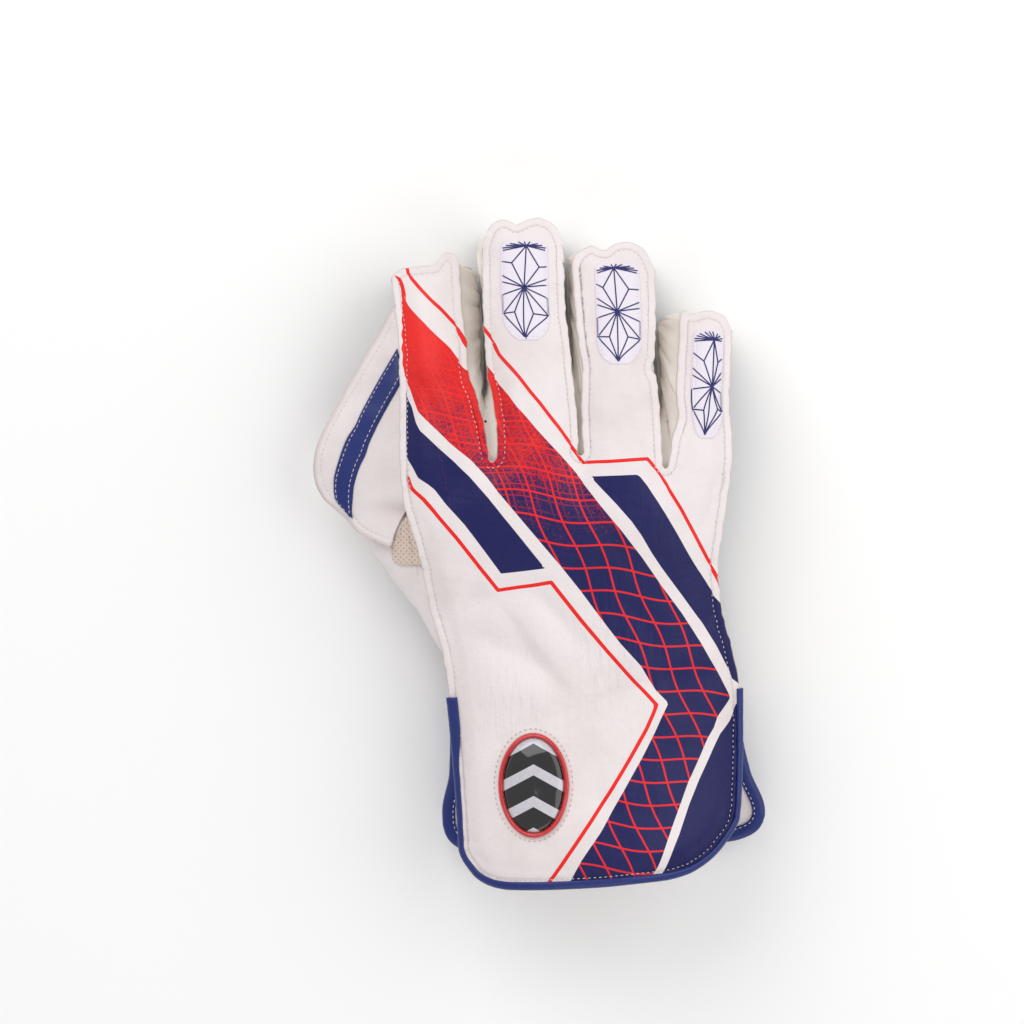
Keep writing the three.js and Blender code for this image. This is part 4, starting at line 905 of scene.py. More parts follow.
def plain_leather(name, colour, grain=0.5, creases=0.5, amount=0.5, seam=None, coat=0.0):
    """Leather of one colour with grain, patches of dust and handling, and painted shade near its seams; seam
    names an attribute of edge distance in millimetres, within 2.6 mm of which the shade is painted.
    """
    material, n, shader = new_material(name, coat=coat)
    place = n.place()
    grained = n.group(GRAIN, Vector=place, Grain=grain, Creases=creases)
    # Painted shade along the seams: the leather darkens towards the edge that the seam attribute measures.
    near = n.rest(n.step(n.field(seam), 0.0, 2.6)) if seam else 0.0
    worn_and_shaded = n.group(WEAR_AND_SEAM_SHADE, Color=colour, Vector=place, Seam=near, Amount=amount)
    lead(n, shader, worn_and_shaded["Color"], worn_and_shaded["Rough"], grained["Normal"])
    return material


def back_material():
    """The printed back: masks from the distance fields over white leather, raw edges, painted shade in the
    stitch groove and a plain lining.
    """
    material, n, shader = new_material("printed back leather")
    place = n.place()
    grain = n.group(GRAIN, Vector=place, Grain=0.5, Creases=0.55)

    def within(value, width):
        """One where a distance is below a width."""
        return n.rest(n.step(value, width - PRINT_EDGE, width + PRINT_EDGE))

    def on_line(name, half):
        """One on a printed line of the given half width."""
        return within(n.math("ABSOLUTE", n.field(name)), half)

    down = n.field("down_band")
    mottle = n.noise(place, 900.0, 4.0, 0.7)
    drift = n.noise(place, 60.0, 3.0)
    depth = n.times_plus(n.math("SUBTRACT", mottle, 0.5), 0.6, down)
    depth = n.times_plus(n.math("SUBTRACT", drift, 0.5), 0.2, depth)
    ground = n.blend(n.step(depth, 0.18, 0.39), DEEP_RED, NAVY)
    ground = n.blend(n.step(depth, 0.02, 0.32), RED, ground)
    large = n.group(NET, Vector=place, Pitch=0.0108, Width=0.0009)["Mask"]
    fine = n.group(NET, Vector=place, Pitch=0.0054, Width=0.00055)["Mask"]
    fine = n.times(fine, n.rest(n.step(down, 0.3, 0.42)))
    net = n.math("MAXIMUM", large, n.times(fine, 0.7))
    colour = n.blend(within(n.field("main_band"), 0.0), WHITE, n.blend(n.times(net, 0.94), ground, RED))
    colour = n.blend(within(n.field("side_panels"), 0.0), colour, NAVY)
    red = n.math("MAXIMUM", on_line("upper_line", 0.82), on_line("lower_line", 0.9))
    red = n.math("MAXIMUM", red, on_line("curl_line", 1.0))
    colour = n.blend(red, colour, RED)
    colour = n.blend(n.step(n.field("raw_strip"), -PRINT_EDGE, PRINT_EDGE), colour, WHITE)
    edge = n.field("edge_mm")
    # Painted shade in the stitch groove: a band about the stitch line, darkened through the shared group's
    # seam input.
    seam_groove_shade = n.rest(n.step(n.away(edge, SEAM), 0.1, 0.9))
    worn_and_shaded = n.group(WEAR_AND_SEAM_SHADE, Color=colour, Vector=place, Seam=n.times(seam_groove_shade, 0.6), Amount=0.45)
    rim = n.rest(n.step(edge, 0.05, 0.55))
    final = n.blend(n.times(rim, 0.75), worn_and_shaded["Color"], RAW_EDGE)
    final = n.blend(n.step(n.field("inner_face"), 0.4, 0.6), final, GREIGE)
    streaks = n.noise(n.mapped(place, scale=(1.0, 0.16, 1.0)), 330.0)
    wrinkled = n.bump(n.times(streaks, n.field("fine_wrinkles")), 0.8, 0.0018, grain["Normal"])
    lead(n, shader, final, worn_and_shaded["Rough"], wrinkled)
    return material


def perforated_material():
    """Pale suede with rows of punched holes on a square grid turned an eighth, each a dent with painted shade
    in it.
    """
    material, n, shader = new_material("perforated suede", 0.85, 0.2, sheen=0.25)
    place = n.place()
    x, y, _ = n.split(n.mapped(place, 0.785, (520.0, 520.0, 0.0)))
    squares = [n.math("POWER", n.math("SUBTRACT", n.math("FRACT", side), 0.5), 2.0) for side in (x, y)]
    hole = n.rest(n.step(n.math("ADD", *squares), 0.02, 0.05))
    fuzz = n.noise(place, 1500.0)
    colour = n.blend(n.step(fuzz, 0.3, 0.7), BEIGE, linear(224, 206, 194))
    # Painted shade in each punched hole.
    colour = n.blend(n.times(hole, 0.6), colour, linear(150, 126, 112))
    height = n.times_plus(hole, -1.0, n.times(fuzz, 0.25))
    lead(n, shader, colour, normal=n.bump(height, 0.7, 0.0004))
    return material


def pimpled_rubber():
    """Palm: small round pimples on the rubber face, plain white leather on its margin, rim and inner side."""
    material, n, shader = new_material("pimpled rubber", 0.62, 0.35)
    facing = n.times(n.step(n.field("under_side"), 0.4, 0.6),
                     n.step(n.field("edge_mm"), RUBBER_MARGIN, RUBBER_MARGIN + 0.2))
    place = n.place()
    pimples = n.rest(n.step(n.cells(place, 420.0), 0.12, 0.42))
    dust = n.noise(place, 30.0, 5.0, 0.65)
    rubber = n.blend(n.step(dust, 0.35, 0.8), linear(40, 46, 100), linear(70, 74, 122))
    lead(n, shader, n.blend(facing, GREIGE, rubber), n.times_plus(dust, 0.25, 0.5),
         n.bump(n.times(pimples, facing), 0.7, 0.0006))
    return material


def vent_material():
    """A punched hole: painted shade inside, a leather lip round it."""
    material, n, shader = new_material("vent hole", 0.7)
    lead(n, shader, n.blend(n.step(n.field("hole"), 0.4, 0.6), GREIGE, linear(44, 34, 32)))
    return material


def woven(name, light, dark, sheen=0.2):
    """Fine woven cloth: crossing ribs with a little tone between them."""
    material, n, shader = new_material(name, 0.8, sheen=sheen)
    place = n.place()
    x, y, _ = n.split(place)
    ribs = [n.math("SINE", n.times(side, RIB_TURNS)) for side in (x, y)]
    weave = n.times_plus(n.times(*ribs), 0.5, 0.5)
    tone = n.times_plus(n.noise(place, 40.0), 0.5, n.times(weave, 0.5))
    lead(n, shader, n.blend(tone, light, dark), normal=n.bump(weave, 0.35, 0.0001))
    return material


def thread_material(name, colour):
    """Twisted thread: slanting plies by a sine over its place."""
    material, n, shader = new_material(name, 0.65, sheen=0.2)
    plies = n.filled("ShaderNodeTexWave", {"Vector": n.place(), "Scale": 900.0}, wave_type="BANDS",
                     bands_direction="DIAGONAL").outputs["Fac"]
    dark = tuple(0.8 * c for c in colour[:3]) + (1.0,)
    lead(n, shader, n.blend(n.times(plies, 0.6), colour, dark), normal=n.bump(plies, 0.4, 0.0001))
    return material


MATERIALS = dict(
    back=back_material(),
    wall=plain_leather("wall leather", GREIGE, 0.35, 0.8, 0.7, seam="edge_mm"),
    thumb=plain_leather("thumb leather", WHITE, 0.5, 0.7, 0.6),
    web=plain_leather("web leather", WHITE, 0.5, 0.4, 0.5, seam="edge_mm"),
    flap=plain_leather("flap leather", WHITE, 0.4, 0.5, 0.5),
    trim=plain_leather("trim leather", TRIM_NAVY, 0.5, 0.35, 0.25, coat=0.25),
    gusset=perforated_material(),
    palm=pimpled_rubber(),
    vent=vent_material(),
    patch=woven("patch cloth", linear(237, 230, 239), linear(229, 222, 233)),
    ink=woven("patch ink", linear(58, 58, 116), linear(46, 46, 100), sheen=0.0),
    thread=thread_material("white thread", linear(214, 209, 205)),
    dark_thread=thread_material("grey thread", linear(206, 200, 194)),
)


def seam_inset(y):
    """How far in the stitch line runs: just inside the binding along the cuff."""
    return mix(SEAM, CUFF_SEAM, smooth((-y - BINDING_START) / 8))


# The back
def back_surface():
    """The back as one sheet: the tables' surface, edges scalloped, padding crowned between the seams, stitch
    lines pressed in with puckers across them, and soft creases."""
    shares = np.linspace(1, 0, HAND_ROWS)
    grid, keep = panel_grid(BACK, shares, FINGER_ROWS)
    finger, place = columns_of_hand()
    turned = ((finger == 0) & (place >= 5)) | ((finger >= 2) & (place <= 1))
    turned = np.repeat(turned, grid.shape[1])
    faces = grid_faces(grid.shape[:2], keep)
    points, faces, (turned,) = used_only(grid.reshape(-1, 3), faces, turned)
    edge, at = edge_distance(points, outline_of(points, faces))
    normals = normals_of(points, faces)
    x, y = points[:, 0], points[:, 1]
    near = np.exp(-np.maximum(edge - 0.5, 0) / SEAM) * smooth(edge / 2.0)
    pucker = SEAM_PUCKER * waves(at, 4, (8.9, 5.9, 4.1), (0.45, 0.4, 0.35)) * near
    groove = -SEAM_GROOVE * bell((edge - seam_inset(y)) / 0.75)
    swell = PAD_SWELL * smooth((edge - SEAM) / 9.0)
    lip = 0.3 * bell(edge / 1.6) * waves(at, 9, (17.0, 7.3, 4.7))
    roll = SEAM_ROLL * bell(edge - 1.3) * turned * smooth(y / 12)
    slack = (0.45 * waves(x + 0.45 * y, 21, (57.0, 33.0, 19.0))
             + 0.4 * waves(y - 0.6 * x, 22, (71.0, 43.0, 27.0)))
    height = groove + swell + pucker + lip + roll + slack * smooth(edge / 9)
    height += back_creases(x, y) * smooth((edge - 2) / 6)
    points = points + normals * height[:, None]
    points[:, 0] += 0.35 * np.exp(-edge / 2.4) * waves(at, 12, (13.0, 8.1, 4.9))
    return points, faces, edge


# Creases: centre in pixels, half length and half width in millimetres, turn in degrees, height in millimetres
CREASES = (
    (520, 632, 30, 6.5, -50, -1.7), (548, 652, 28, 5.0, -44, 1.1), (566, 712, 30, 6.0, 26, -1.7),
    (520, 690, 26, 7.0, 18, 1.3), (600, 690, 22, 5.0, 30, 1.0), (462, 612, 22, 4.5, 74, -1.2),
    (640, 430, 16, 5.0, 6, -0.9), (560, 752, 40, 7.0, 8, 0.9), (452, 668, 18, 4.0, 62, -1.2),
    (500, 596, 20, 5.0, -30, 1.0), (600, 800, 36, 7.0, -12, -1.0), (690, 640, 20, 5.0, 62, -1.2),
    (478, 770, 16, 5.0, 70, 0.8), (530, 420, 16, 4.0, -60, -0.8), (434, 520, 18, 4.0, 65, -1.0),
    (702, 520, 18, 4.0, 82, -0.9), (612, 560, 26, 5.0, -48, 0.8), (660, 700, 18, 5.0, -60, 0.9),
    (500, 860, 30, 5.0, 2, -0.7), (430, 400, 14, 4.0, -50, -0.8), (606, 410, 12, 4.0, 12, 0.8),
)


def back_creases(x, y):
    """Soft creases, each a peaked bell across a slightly bent line, fading along it."""
    height = np.zeros_like(x)
    for u, v, length, width, turn, deep in CREASES:
        middle_x, middle_y = from_pixels([(u, v)])[0]
        along, across = turned_place(x - middle_x, y - middle_y, turn)
        across = across + 2.0 * np.sin(along / length * 2.4)
        height += deep * bell(along / length) * np.exp(-(np.abs(across) / width) ** 1.6)
    return height


def build_back():
    """The back leather as a wall of its sheet; returns its upper face's search tree and its outline."""
    points, faces, edge = back_surface()
    normals = normals_of(points, faces)
    solid, shell = slab(points, faces, normals, BACK_LEATHER / 2, BACK_LEATHER / 2)
    fields = {key: np.tile(value, 2) for key, value in print_fields(points).items()}
    fields.update(edge_mm=np.tile(edge, 2), inner_face=np.repeat([0.0, 1.0], len(points)))
    obj = make_mesh("back_leather", solid, shell, fields)
    dress(obj, MATERIALS["back"], "white_leather", "back_panel")
    return surface_below(points + normals * BACK_LEATHER / 2, faces), outline_of(points, faces)


def build_palm():
    """The palm's sheet from its tables, down to the wrist, with shallow flex channels across the fingers."""
    grid, keep = panel_grid(PALM, np.linspace(WRIST_SHARE, 0, PALM_ROWS), PALM_FINGER_ROWS)
    faces = grid_faces(grid.shape[:2], keep)
    points, faces, _ = used_only(grid.reshape(-1, 3), faces)
    outline = outline_of(points, faces)
    edge, at = edge_distance(points, outline)
    normals = normals_of(points, faces)
    y = points[:, 1]
    channels = bell((y % 24.0 - 12.0) / 1.2) * (y > 14) * smooth((edge - SEAM) / 3)
    points = points + normals * (0.25 * waves(at, 31) * np.exp(-edge / 3))[:, None]
    normals = normals_of(points, faces)
    facing = smooth((edge - RUBBER_MARGIN) / 0.4)
    below = PALM_LEATHER / 2 - 0.6 + 0.6 * facing - 0.6 * channels
    solid, shell = slab(points, faces, normals, PALM_LEATHER / 2, below[:, None])
    fields = {"under_side": np.repeat([0.0, 1.0], len(points)), "edge_mm": np.tile(edge, 2)}
    obj = make_mesh("palm_rubber", solid, shell, fields)
    dress(obj, MATERIALS["palm"], "palm_rubber", "palm_panel")
    lower = surface_below(points - normals * below[:, None], faces)
    runs = rows_on(lower, inset_path(outline, SEAM), -1.0, 60.0)
    sewn("palm_seam_stitches", runs, MATERIALS["thread"], thread=0.2)


def panel_point(panel, finger, place, share):
    """One line of places on a panel, share below 0 on the hand and above 0 on the finger."""
    finger, place, share = np.broadcast_arrays(finger, np.asarray(place, float), np.asarray(share, float))
    out = np.zeros(place.shape + (3,))
    for k in range(len(place)):
        if share[k] <= 0:
            out[k] = hand_grid(panel, finger[k:k + 1], place[k:k + 1], -share[k:k + 1])[0, 0]
        else:
            out[k] = finger_grid(panel, finger[k], place[k:k + 1], share[k:k + 1])[0, 0]
    return out


def panel_normal(panel, finger, place, share):
    """Normal by small steps across and along the panel's surface."""
    place, share = np.asarray(place, float), np.asarray(share, float)
    inner = np.clip(place, 0.45, 5.55)
    a = panel_point(panel, finger, np.where(place > 6, place, inner - 0.45), share)
    b = panel_point(panel, finger, np.where(place > 6, place - 0.1, inner + 0.45), share)
    across = np.where((place > 6)[:, None], a - b, b - a)
    upward = (panel_point(panel, finger, place, share + 0.01)
              - panel_point(panel, finger, place, np.where(share > 0.98, share - 0.01, share)))
    n = np.cross(across, upward)
    return n / np.linalg.norm(n, axis=1, keepdims=True)


def wall_stations(kind, finger, side=None, ends=None):
    """Stations of a wall as (finger, place, back share, palm share) rows."""
    seam = {"left": 1.0, "right": 5.0}
    length = FINGER_LENGTH * BACK_FINGERS[finger]["length"]
    tip_back, tip_palm = 1 - SEAM / length, 1 - SEAM / (0.75 * length)
    if kind == "tip":
        places = np.linspace(3 + (0.015 if side == "right" else -0.015), seam[side], TIP_STATIONS)
        return [(finger, p, tip_back, tip_palm) for p in places]
    if kind == "side":
        return [(finger, seam[side], s, s) for s in np.linspace(0.97, 0.0, SIDE_STATIONS)]
    reach = np.linspace(0, 1, HAND_STATIONS)[1:]
    return [(finger, seam[side], -ends[0] * t, -ends[1] * t) for t in reach]


def wall_sheet(stations, seed, outward):
    """A wall between two panels' stitch lines: rules that run outwards from the back's line before they drop
    to the palm's, a bulge to the outer side and upright slanting folds, both fading at the feet."""
    finger, place, back_at, palm_at = (np.array(c) for c in zip(*stations))
    finger = finger.astype(int)
    top, foot = (panel_point(p, finger, place, s) for p, s in ((BACK, back_at), (PALM, palm_at)))
    top -= panel_normal(BACK, finger, place, back_at) * (BACK_LEATHER / 2 + 1.0)
    foot += panel_normal(PALM, finger, place, palm_at) * (PALM_LEATHER / 2 + 0.35)
    level = np.linspace(0, 1, WALL_LEVELS)
    share = np.stack([level**3, level**3, level], -1)
    points = foot[:, None] + (top - foot)[:, None] * share[None]
    travel = np.gradient(points[:, WALL_LEVELS // 2], axis=0)
    out = np.cross(travel, top - foot) * outward
    out /= np.maximum(np.linalg.norm(out, axis=1, keepdims=True), 1e-9)
    belly = np.sin(np.pi * level**0.8)[None] ** 0.8
    slant = running_length(top)[:, None] + 9 * np.sin(2.6 * level + 0.4 * seed)[None]
    ripple = waves(slant, seed, (23.0, 13.3, 7.1), (0.6, 0.5, 0.3))
    return points + out[:, None] * (belly * (WALL_BULGE + WALL_FOLDS * ripple))[..., None]


def build_wall(name, node, stations, seed, outward):
    """One wall as a slab of its sheet; returns its search tree."""
    points = wall_sheet(stations, seed, outward)
    faces = grid_faces(points.shape[:2])
    flat = points.reshape(-1, 3)
    solid, shell = slab(flat, faces, normals_of(flat, faces), WALL_LEATHER / 2, WALL_LEATHER / 2)
    level = np.tile(np.linspace(0, 1, WALL_LEVELS), len(points))
    edge = np.minimum(level, 1 - level) * WALL_EDGE
    obj = make_mesh(name, solid, shell, {"edge_mm": np.tile(edge, 2)})
    dress(obj, MATERIALS["wall"], "white_leather", node)
    return surface_below(solid, shell)


# Vent holes in the walls: places in pixels and a radius in millimetres, for each gap
VENTS = dict(index_middle=((485.5, 422, 0.75), (487, 408, 0.5)),
             middle_ring=((572, 436, 0.5), (571, 422, 0.45)),
             ring_little=((667, 422, 0.75), (657.5, 420.5, 0.5)))
# Side walls: name, node, finger, side, how far down the back and the palm they reach, seed, outer side
SIDE_WALLS = (("index_side_wall", "side_wall_index", 0, "left", (0.128, 0.252), 51, 1),
              ("little_side_wall", "side_wall_little", 3, "right", (0.535, 0.655), 52, -1))


def build_walls():
    """The three walls between stalls, each down one finger, round the crotch and up the next, and the two
    side walls, each down a finger and along the hand."""
    def down(f, side):
        """Stations round half a fingertip and down one side of the finger."""
        return wall_stations("tip", f, side) + wall_stations("side", f, side)
    for f, (name, holes) in enumerate(VENTS.items()):
        crotch = [(f, 5.3, -0.012, -0.012), (f, 6.5, -0.018, -0.02), (f + 1, 0.7, -0.012, -0.012)]
        stations = down(f, "right") + crotch + down(f + 1, "left")[::-1]
        punch_vents(name, build_wall(f"{name}_wall", f"fourchette_{name}", stations, 41 + f, -1), holes)
    for name, node, f, side, ends, seed, outward in SIDE_WALLS:
        build_wall(name, node, down(f, side) + wall_stations("hand", f, side, ends), seed, outward)


def punch_vents(name, tree, holes):
    """Vent holes: a dished disc whose middle is painted shade standing in for the hole, with a low rolled
    lip, laid on the wall, by rings of growing radius.
    """
    share = np.array([0.02, 0.5, 0.85, 1.0, 1.3, 1.55])
    high = np.array([0.05, 0.05, 0.06, 0.12, 0.14, 0.03])
    angle = np.linspace(0, 2 * np.pi, VENT_PLACES, endpoint=False)
    points, faces, dark = [], [], []
    for u, v, radius in holes:
        x, y = from_pixels([(u, v)])[0]
        middle, normal = (a[0] for a in lay_on(tree, [x], [y]))
        side = np.cross(normal, (0.0, 1.0, 0.0))
        side /= np.linalg.norm(side)
        other = np.cross(normal, side)
        ring = np.cos(angle)[:, None] * side + np.sin(angle)[:, None] * other
        body = middle + radius * share[:, None, None] * ring[None] + normal * high[:, None, None]
        faces.append(ring_faces(len(share), VENT_PLACES) + sum(len(p) for p in points))
        points.append(body.reshape(-1, 3))
        # The inner rings carry the painted shade of the hole.
        dark.append(np.repeat(share < 0.9, VENT_PLACES))
    obj = make_mesh(f"{name}_vents", np.concatenate(points), np.concatenate(faces),
                    {"hole": np.concatenate(dark)})
    dress(obj, MATERIALS["vent"], "white_leather")


# The thumb: rings between mouth and tube as (upper x, upper y, lower x, lower y, level, rise)
THUMB_RINGS = ((-0.95, -0.15, -0.775, -0.44, 1.22, 0.45), (-0.965, -0.136, -0.905, -0.356, 1.12, 0.41),
               (-0.975, -0.116, -1.028, -0.297, 0.87, 0.485), (-0.99, -0.085, -1.12, -0.25, 0.71, 0.485))
THUMB_TUBE = ((0.6, 1, 0.6, 0.48), (0.73, 1, 0.54, 0.47), (0.84, 0.97, 0.5, 0.45), (0.92, 0.82, 0.48, 0.39),
              (0.97, 0.52, 0.47, 0.27), (0.995, 0.2, 0.462, 0.1))
THUMB_ROOT = dict(x=-0.771, y=-0.309, turn=35.2)
MOUTH = dict(back=(0.138, 0.53), palm=(0.265, 0.64), column=1.4)
RING_PLACES = 16


def thumb_rings():
    """The stall's rings of sixteen places, from its mouth between the panels to the tip."""
    half = RING_PLACES // 2 - 1
    place = np.full(half, MOUTH["column"])
    zero = np.zeros(half, int)
    over = panel_point(BACK, zero, place, -np.linspace(*MOUTH["back"], half))
    over[:, 2] -= BACK_LEATHER / 2 + WALL_GAP + WALL_LEATHER / 2
    under = panel_point(PALM, zero, place, -np.linspace(*MOUTH["palm"], half))
    under[:, 2] += PALM_LEATHER / 2 + WALL_GAP + WALL_LEATHER / 2
    mouth = np.concatenate([over, (over[-1:] + under[-1:]) / 2, under[::-1], (over[:1] + under[:1]) / 2])
    angle = (np.arange(RING_PLACES) + 1) / RING_PLACES * 2 * np.pi
    rings = [mouth]

    def oval(upper, lower, level, rise):
        """A ring between two plan places, its height a level and a sine's rise."""
        middle, reach = (upper + lower) / 2, (upper - lower) / 2
        ring = np.zeros((RING_PLACES, 3))
        ring[:, :2] = middle + reach * np.cos(angle)[:, None]
        ring[:, 2] = THUMB_HEIGHT * (level + rise * np.sin(angle))
        return ring

    scale = np.array([HALF_WIDTH, HAND_LENGTH])
    for ux, uy, lx, ly, level, rise in THUMB_RINGS:
        rings.append(oval(np.array([ux, uy]) * scale, np.array([lx, ly]) * scale, level, rise))
    turn = np.radians(THUMB_ROOT["turn"])
    root = np.array([THUMB_ROOT["x"], THUMB_ROOT["y"]]) * scale
    ahead, side = np.array([-np.sin(turn), np.cos(turn)]), np.array([np.cos(turn), np.sin(turn)])
    for share, wide, level, rise in THUMB_TUBE:
        centre = root + ahead * THUMB_LENGTH * share
        reach = side * THUMB_HALF_WIDTH * wide
        rings.append(oval(centre + reach, centre - reach, level, rise))
    return np.array(rings)


def cubic_rows(rows, count):
    """Rows interpolated through the given ones by cubics that pass through all of them."""
    t = np.linspace(0, len(rows) - 1, count)
    k = np.clip(t.astype(int), 0, len(rows) - 2)
    f = (t - k).reshape((-1,) + (1,) * (rows.ndim - 1))
    a, b, c, d = (rows[np.clip(k + o, 0, len(rows) - 1)] for o in (-1, 0, 1, 2))
    return b + 0.5 * f * (c - a + f * (2 * a - 5 * b + 4 * c - d + f * (3 * (b - c) + d - a)))


def build_thumb():
    """The thumb stall: its rings refined both ways, with slack folds across the crook and a capped tip."""
    rings = thumb_rings()
    around = np.concatenate([rings[:, -2:], rings, rings[:, :3]], 1)
    fine = cubic_rows(around.transpose(1, 0, 2), (RING_PLACES + 4) * THUMB_SPLIT + 1)
    places, first = RING_PLACES * THUMB_SPLIT, 2 * THUMB_SPLIT
    grid = cubic_rows(fine[first:first + places].transpose(1, 0, 2), THUMB_ROWS)
    rows = np.linspace(0, 1, THUMB_ROWS)[:, None]
    angle = np.linspace(0, 2 * np.pi, places, endpoint=False)[None]
    out = grid - grid.mean(1, keepdims=True)
    out /= np.linalg.norm(out, axis=-1, keepdims=True)
    fade = smooth(rows / 0.12) * smooth((1 - rows) / 0.1)
    folds = waves(rows * 130 + 7 * np.sin(angle + 0.6), 63, (21.0, 12.7, 7.1), (0.5, 0.45, 0.25))
    grid = grid + out * (THUMB_FOLDS * fade * folds)[..., None]
    faces = ring_faces(THUMB_ROWS, places, 1)
    points = np.concatenate([grid.reshape(-1, 3), grid[-1].mean(0)[None]])
    mouth, n = np.arange(places), len(points)
    last, tip = mouth + n - 1 - places, np.full(places, n - 1)
    cap = np.stack([np.roll(last, -1), last, tip, tip], 1)
    normals = normals_of(points, np.concatenate([faces, cap]))
    rim = np.stack([mouth, np.roll(mouth, -1), np.roll(mouth, -1) + n, mouth + n], 1)
    reach = normals * WALL_LEATHER / 2
    solid = np.concatenate([points + reach, points - reach])
    shell = np.concatenate([faces, faces[:, ::-1] + n, rim])
    obj = make_mesh("thumb_leather", solid, shell)
    join_faces(obj, np.concatenate([cap[:, :3], cap[:, 2::-1] + n]))
    dress(obj, MATERIALS["thumb"], "white_leather", "thumb_stall")
    return surface_below(solid, shell)


# The web: rows as (inner x or None, inner y, outer x, outer y, droop)
WEB_ROWS = (
    (None, 0.375, 0.1, 0.366, 0.1), (None, 0.328, 0.28, 0.297, 0.25), (None, 0.269, 0.506, 0.215, 0.45),
    (None, 0.21, 0.73, 0.134, 0.7), (None, 0.139, 0.93, 0.052, 0.9), (None, 0.068, 1, -0.007, 1),
    (None, -0.002, 0.98, -0.054, 1), (None, -0.061, 0.89, -0.092, 0.95), (None, -0.106, 0.755, -0.116, 0.85),
    (0.03, -0.148, 0.618, -0.144, 0.7), (0.09, -0.177, 0.495, -0.173, 0.6), (0.14, -0.21, 0.3, -0.195, 0.45),
)
WEB_LEVEL, WEB_DROOP, WEB_DROOP_POWER, WEB_SAG, WEB_BLEND, WEB_GAP = 0.42, 0.7, 1.3, 4.0, 5.0, 3 * CLEARANCE


def thumb_seat():
    """How high the web must lie to clear the thumb: the ridge along the thumb's axis, falling off aside."""
    rx, ry = THUMB_ROOT["x"] * HALF_WIDTH, THUMB_ROOT["y"] * HAND_LENGTH
    ridge = []
    for ux, uy, lx, ly, level, rise in THUMB_RINGS:
        _, along = turned_place((ux + lx) / 2 * HALF_WIDTH - rx, (uy + ly) / 2 * HAND_LENGTH - ry,
                                THUMB_ROOT["turn"])
        ridge.append((along / THUMB_LENGTH, level + rise))
    ridge += [(share, level + rise) for share, _, level, rise in THUMB_TUBE[:3]]
    ridge.append((1.1, ridge[-1][1]))
    top = column_of(ridge, 1)

    def seat(x, y):
        """The ridge's height at a place's share of the thumb, less a square of its distance aside."""
        aside, along = turned_place(x - rx, y - ry, THUMB_ROOT["turn"])
        clear = WALL_LEATHER / 2 + WEB_GAP + WEB_LEATHER / 2
        return THUMB_HEIGHT * top(along / THUMB_LENGTH) + clear - WEB_SAG * (aside / THUMB_HALF_WIDTH) ** 2

    return seat


def web_inner(row):
    """Where a web row starts: on the index side wall's middle, or at its own place near the fork."""
    x, y = row[0], row[1]
    if x is not None:
        return np.array([-HALF_WIDTH - WEB_WIDTH * x, y * HAND_LENGTH, WEB_LEVEL * KNUCKLE_HEIGHT])
    length = FINGER_LENGTH * BACK_FINGERS[0]["length"] / HAND_LENGTH
    crotch = PALM["crotches"][0]
    back_at = y / length if y > 0 else y
    palm_y = y - crotch
    palm_at = palm_y / (length - crotch) if palm_y > 0 else palm_y / (PALM_LENGTH / HAND_LENGTH + crotch)
    zero, one = np.array([0]), np.array([1.0])
    top = panel_point(BACK, zero, one, np.array([back_at]))[0]
    foot = panel_point(PALM, zero, one, np.array([palm_at]))[0]
    point = (top + foot) / 2
    point[0] -= WALL_LEATHER / 2 + CLEARANCE + WEB_LEATHER / 2
    return point


def web_grid(across=52, down=120):
    """The web: rows from the wall out to the curved edge, refined along, level where it spans and lifted
    where the thumb lies below."""
    inner = cubic_rows(np.array([web_inner(row) for row in WEB_ROWS]), down)
    outer = np.array([(-HALF_WIDTH - WEB_WIDTH * r[2], r[3] * HAND_LENGTH, r[4]) for r in WEB_ROWS])
    outer = cubic_rows(outer, down)
    share = np.linspace(0, 1, across)[:, None]
    xy = inner[None, :, :2] + (outer[None, :, :2] - inner[None, :, :2]) * share[..., None]
    flat = inner[None, :, 2] - WEB_DROOP * THUMB_HEIGHT * outer[None, :, 2] * share**WEB_DROOP_POWER
    seat = thumb_seat()(xy[..., 0], xy[..., 1])
    z = (flat + seat + np.hypot(flat - seat, WEB_BLEND)) / 2
    return np.concatenate([xy, z[..., None]], -1)


def build_web():
    """Web leather with a bound edge seam, its stripe and two rows of stitches on the stripe."""
    grid = web_grid()[::-1, ::-1]
    faces = grid_faces(grid.shape[:2])
    flat = grid.reshape(-1, 3)
    outer_run = grid[0]
    edge, at = edge_distance(flat, np.concatenate([outer_run, grid[:, 0]]))
    normals = normals_of(flat, faces)
    if normals[:, 2].mean() < 0:
        faces = faces[:, ::-1]
        normals = -normals
    groove = 0.2 * bell(edge / 2.2) - 0.35 * bell((edge - WEB_SEAM) / 0.7)
    ripple = 0.3 * waves(at, 71, (27.0, 15.0, 9.0)) * np.exp(-edge / 9)
    slack = 0.4 * waves(flat[:, 1] + 0.4 * flat[:, 0], 72, (47.0, 29.0, 17.0)) * smooth(edge / 8)
    flat = flat + normals * (groove + ripple + slack)[:, None]
    normals = normals_of(flat, faces)
    solid, shell = slab(flat, faces, normals, WEB_LEATHER / 2, WEB_LEATHER / 2)
    obj = make_mesh("web_leather", solid, shell, {"edge_mm": np.tile(edge, 2)})
    dress(obj, MATERIALS["web"], "white_leather", "web_panel")
    tree = surface_below(flat + normals * WEB_LEATHER / 2, faces)
    path = inset_open(outer_run[:, :2], WEB_SEAM)
    runs = [lay_on(tree, path[:, 0], path[:, 1])] + build_stripe(tree)
    sewn("web_stitches", runs, MATERIALS["thread"], thread=0.2, length=2.0)


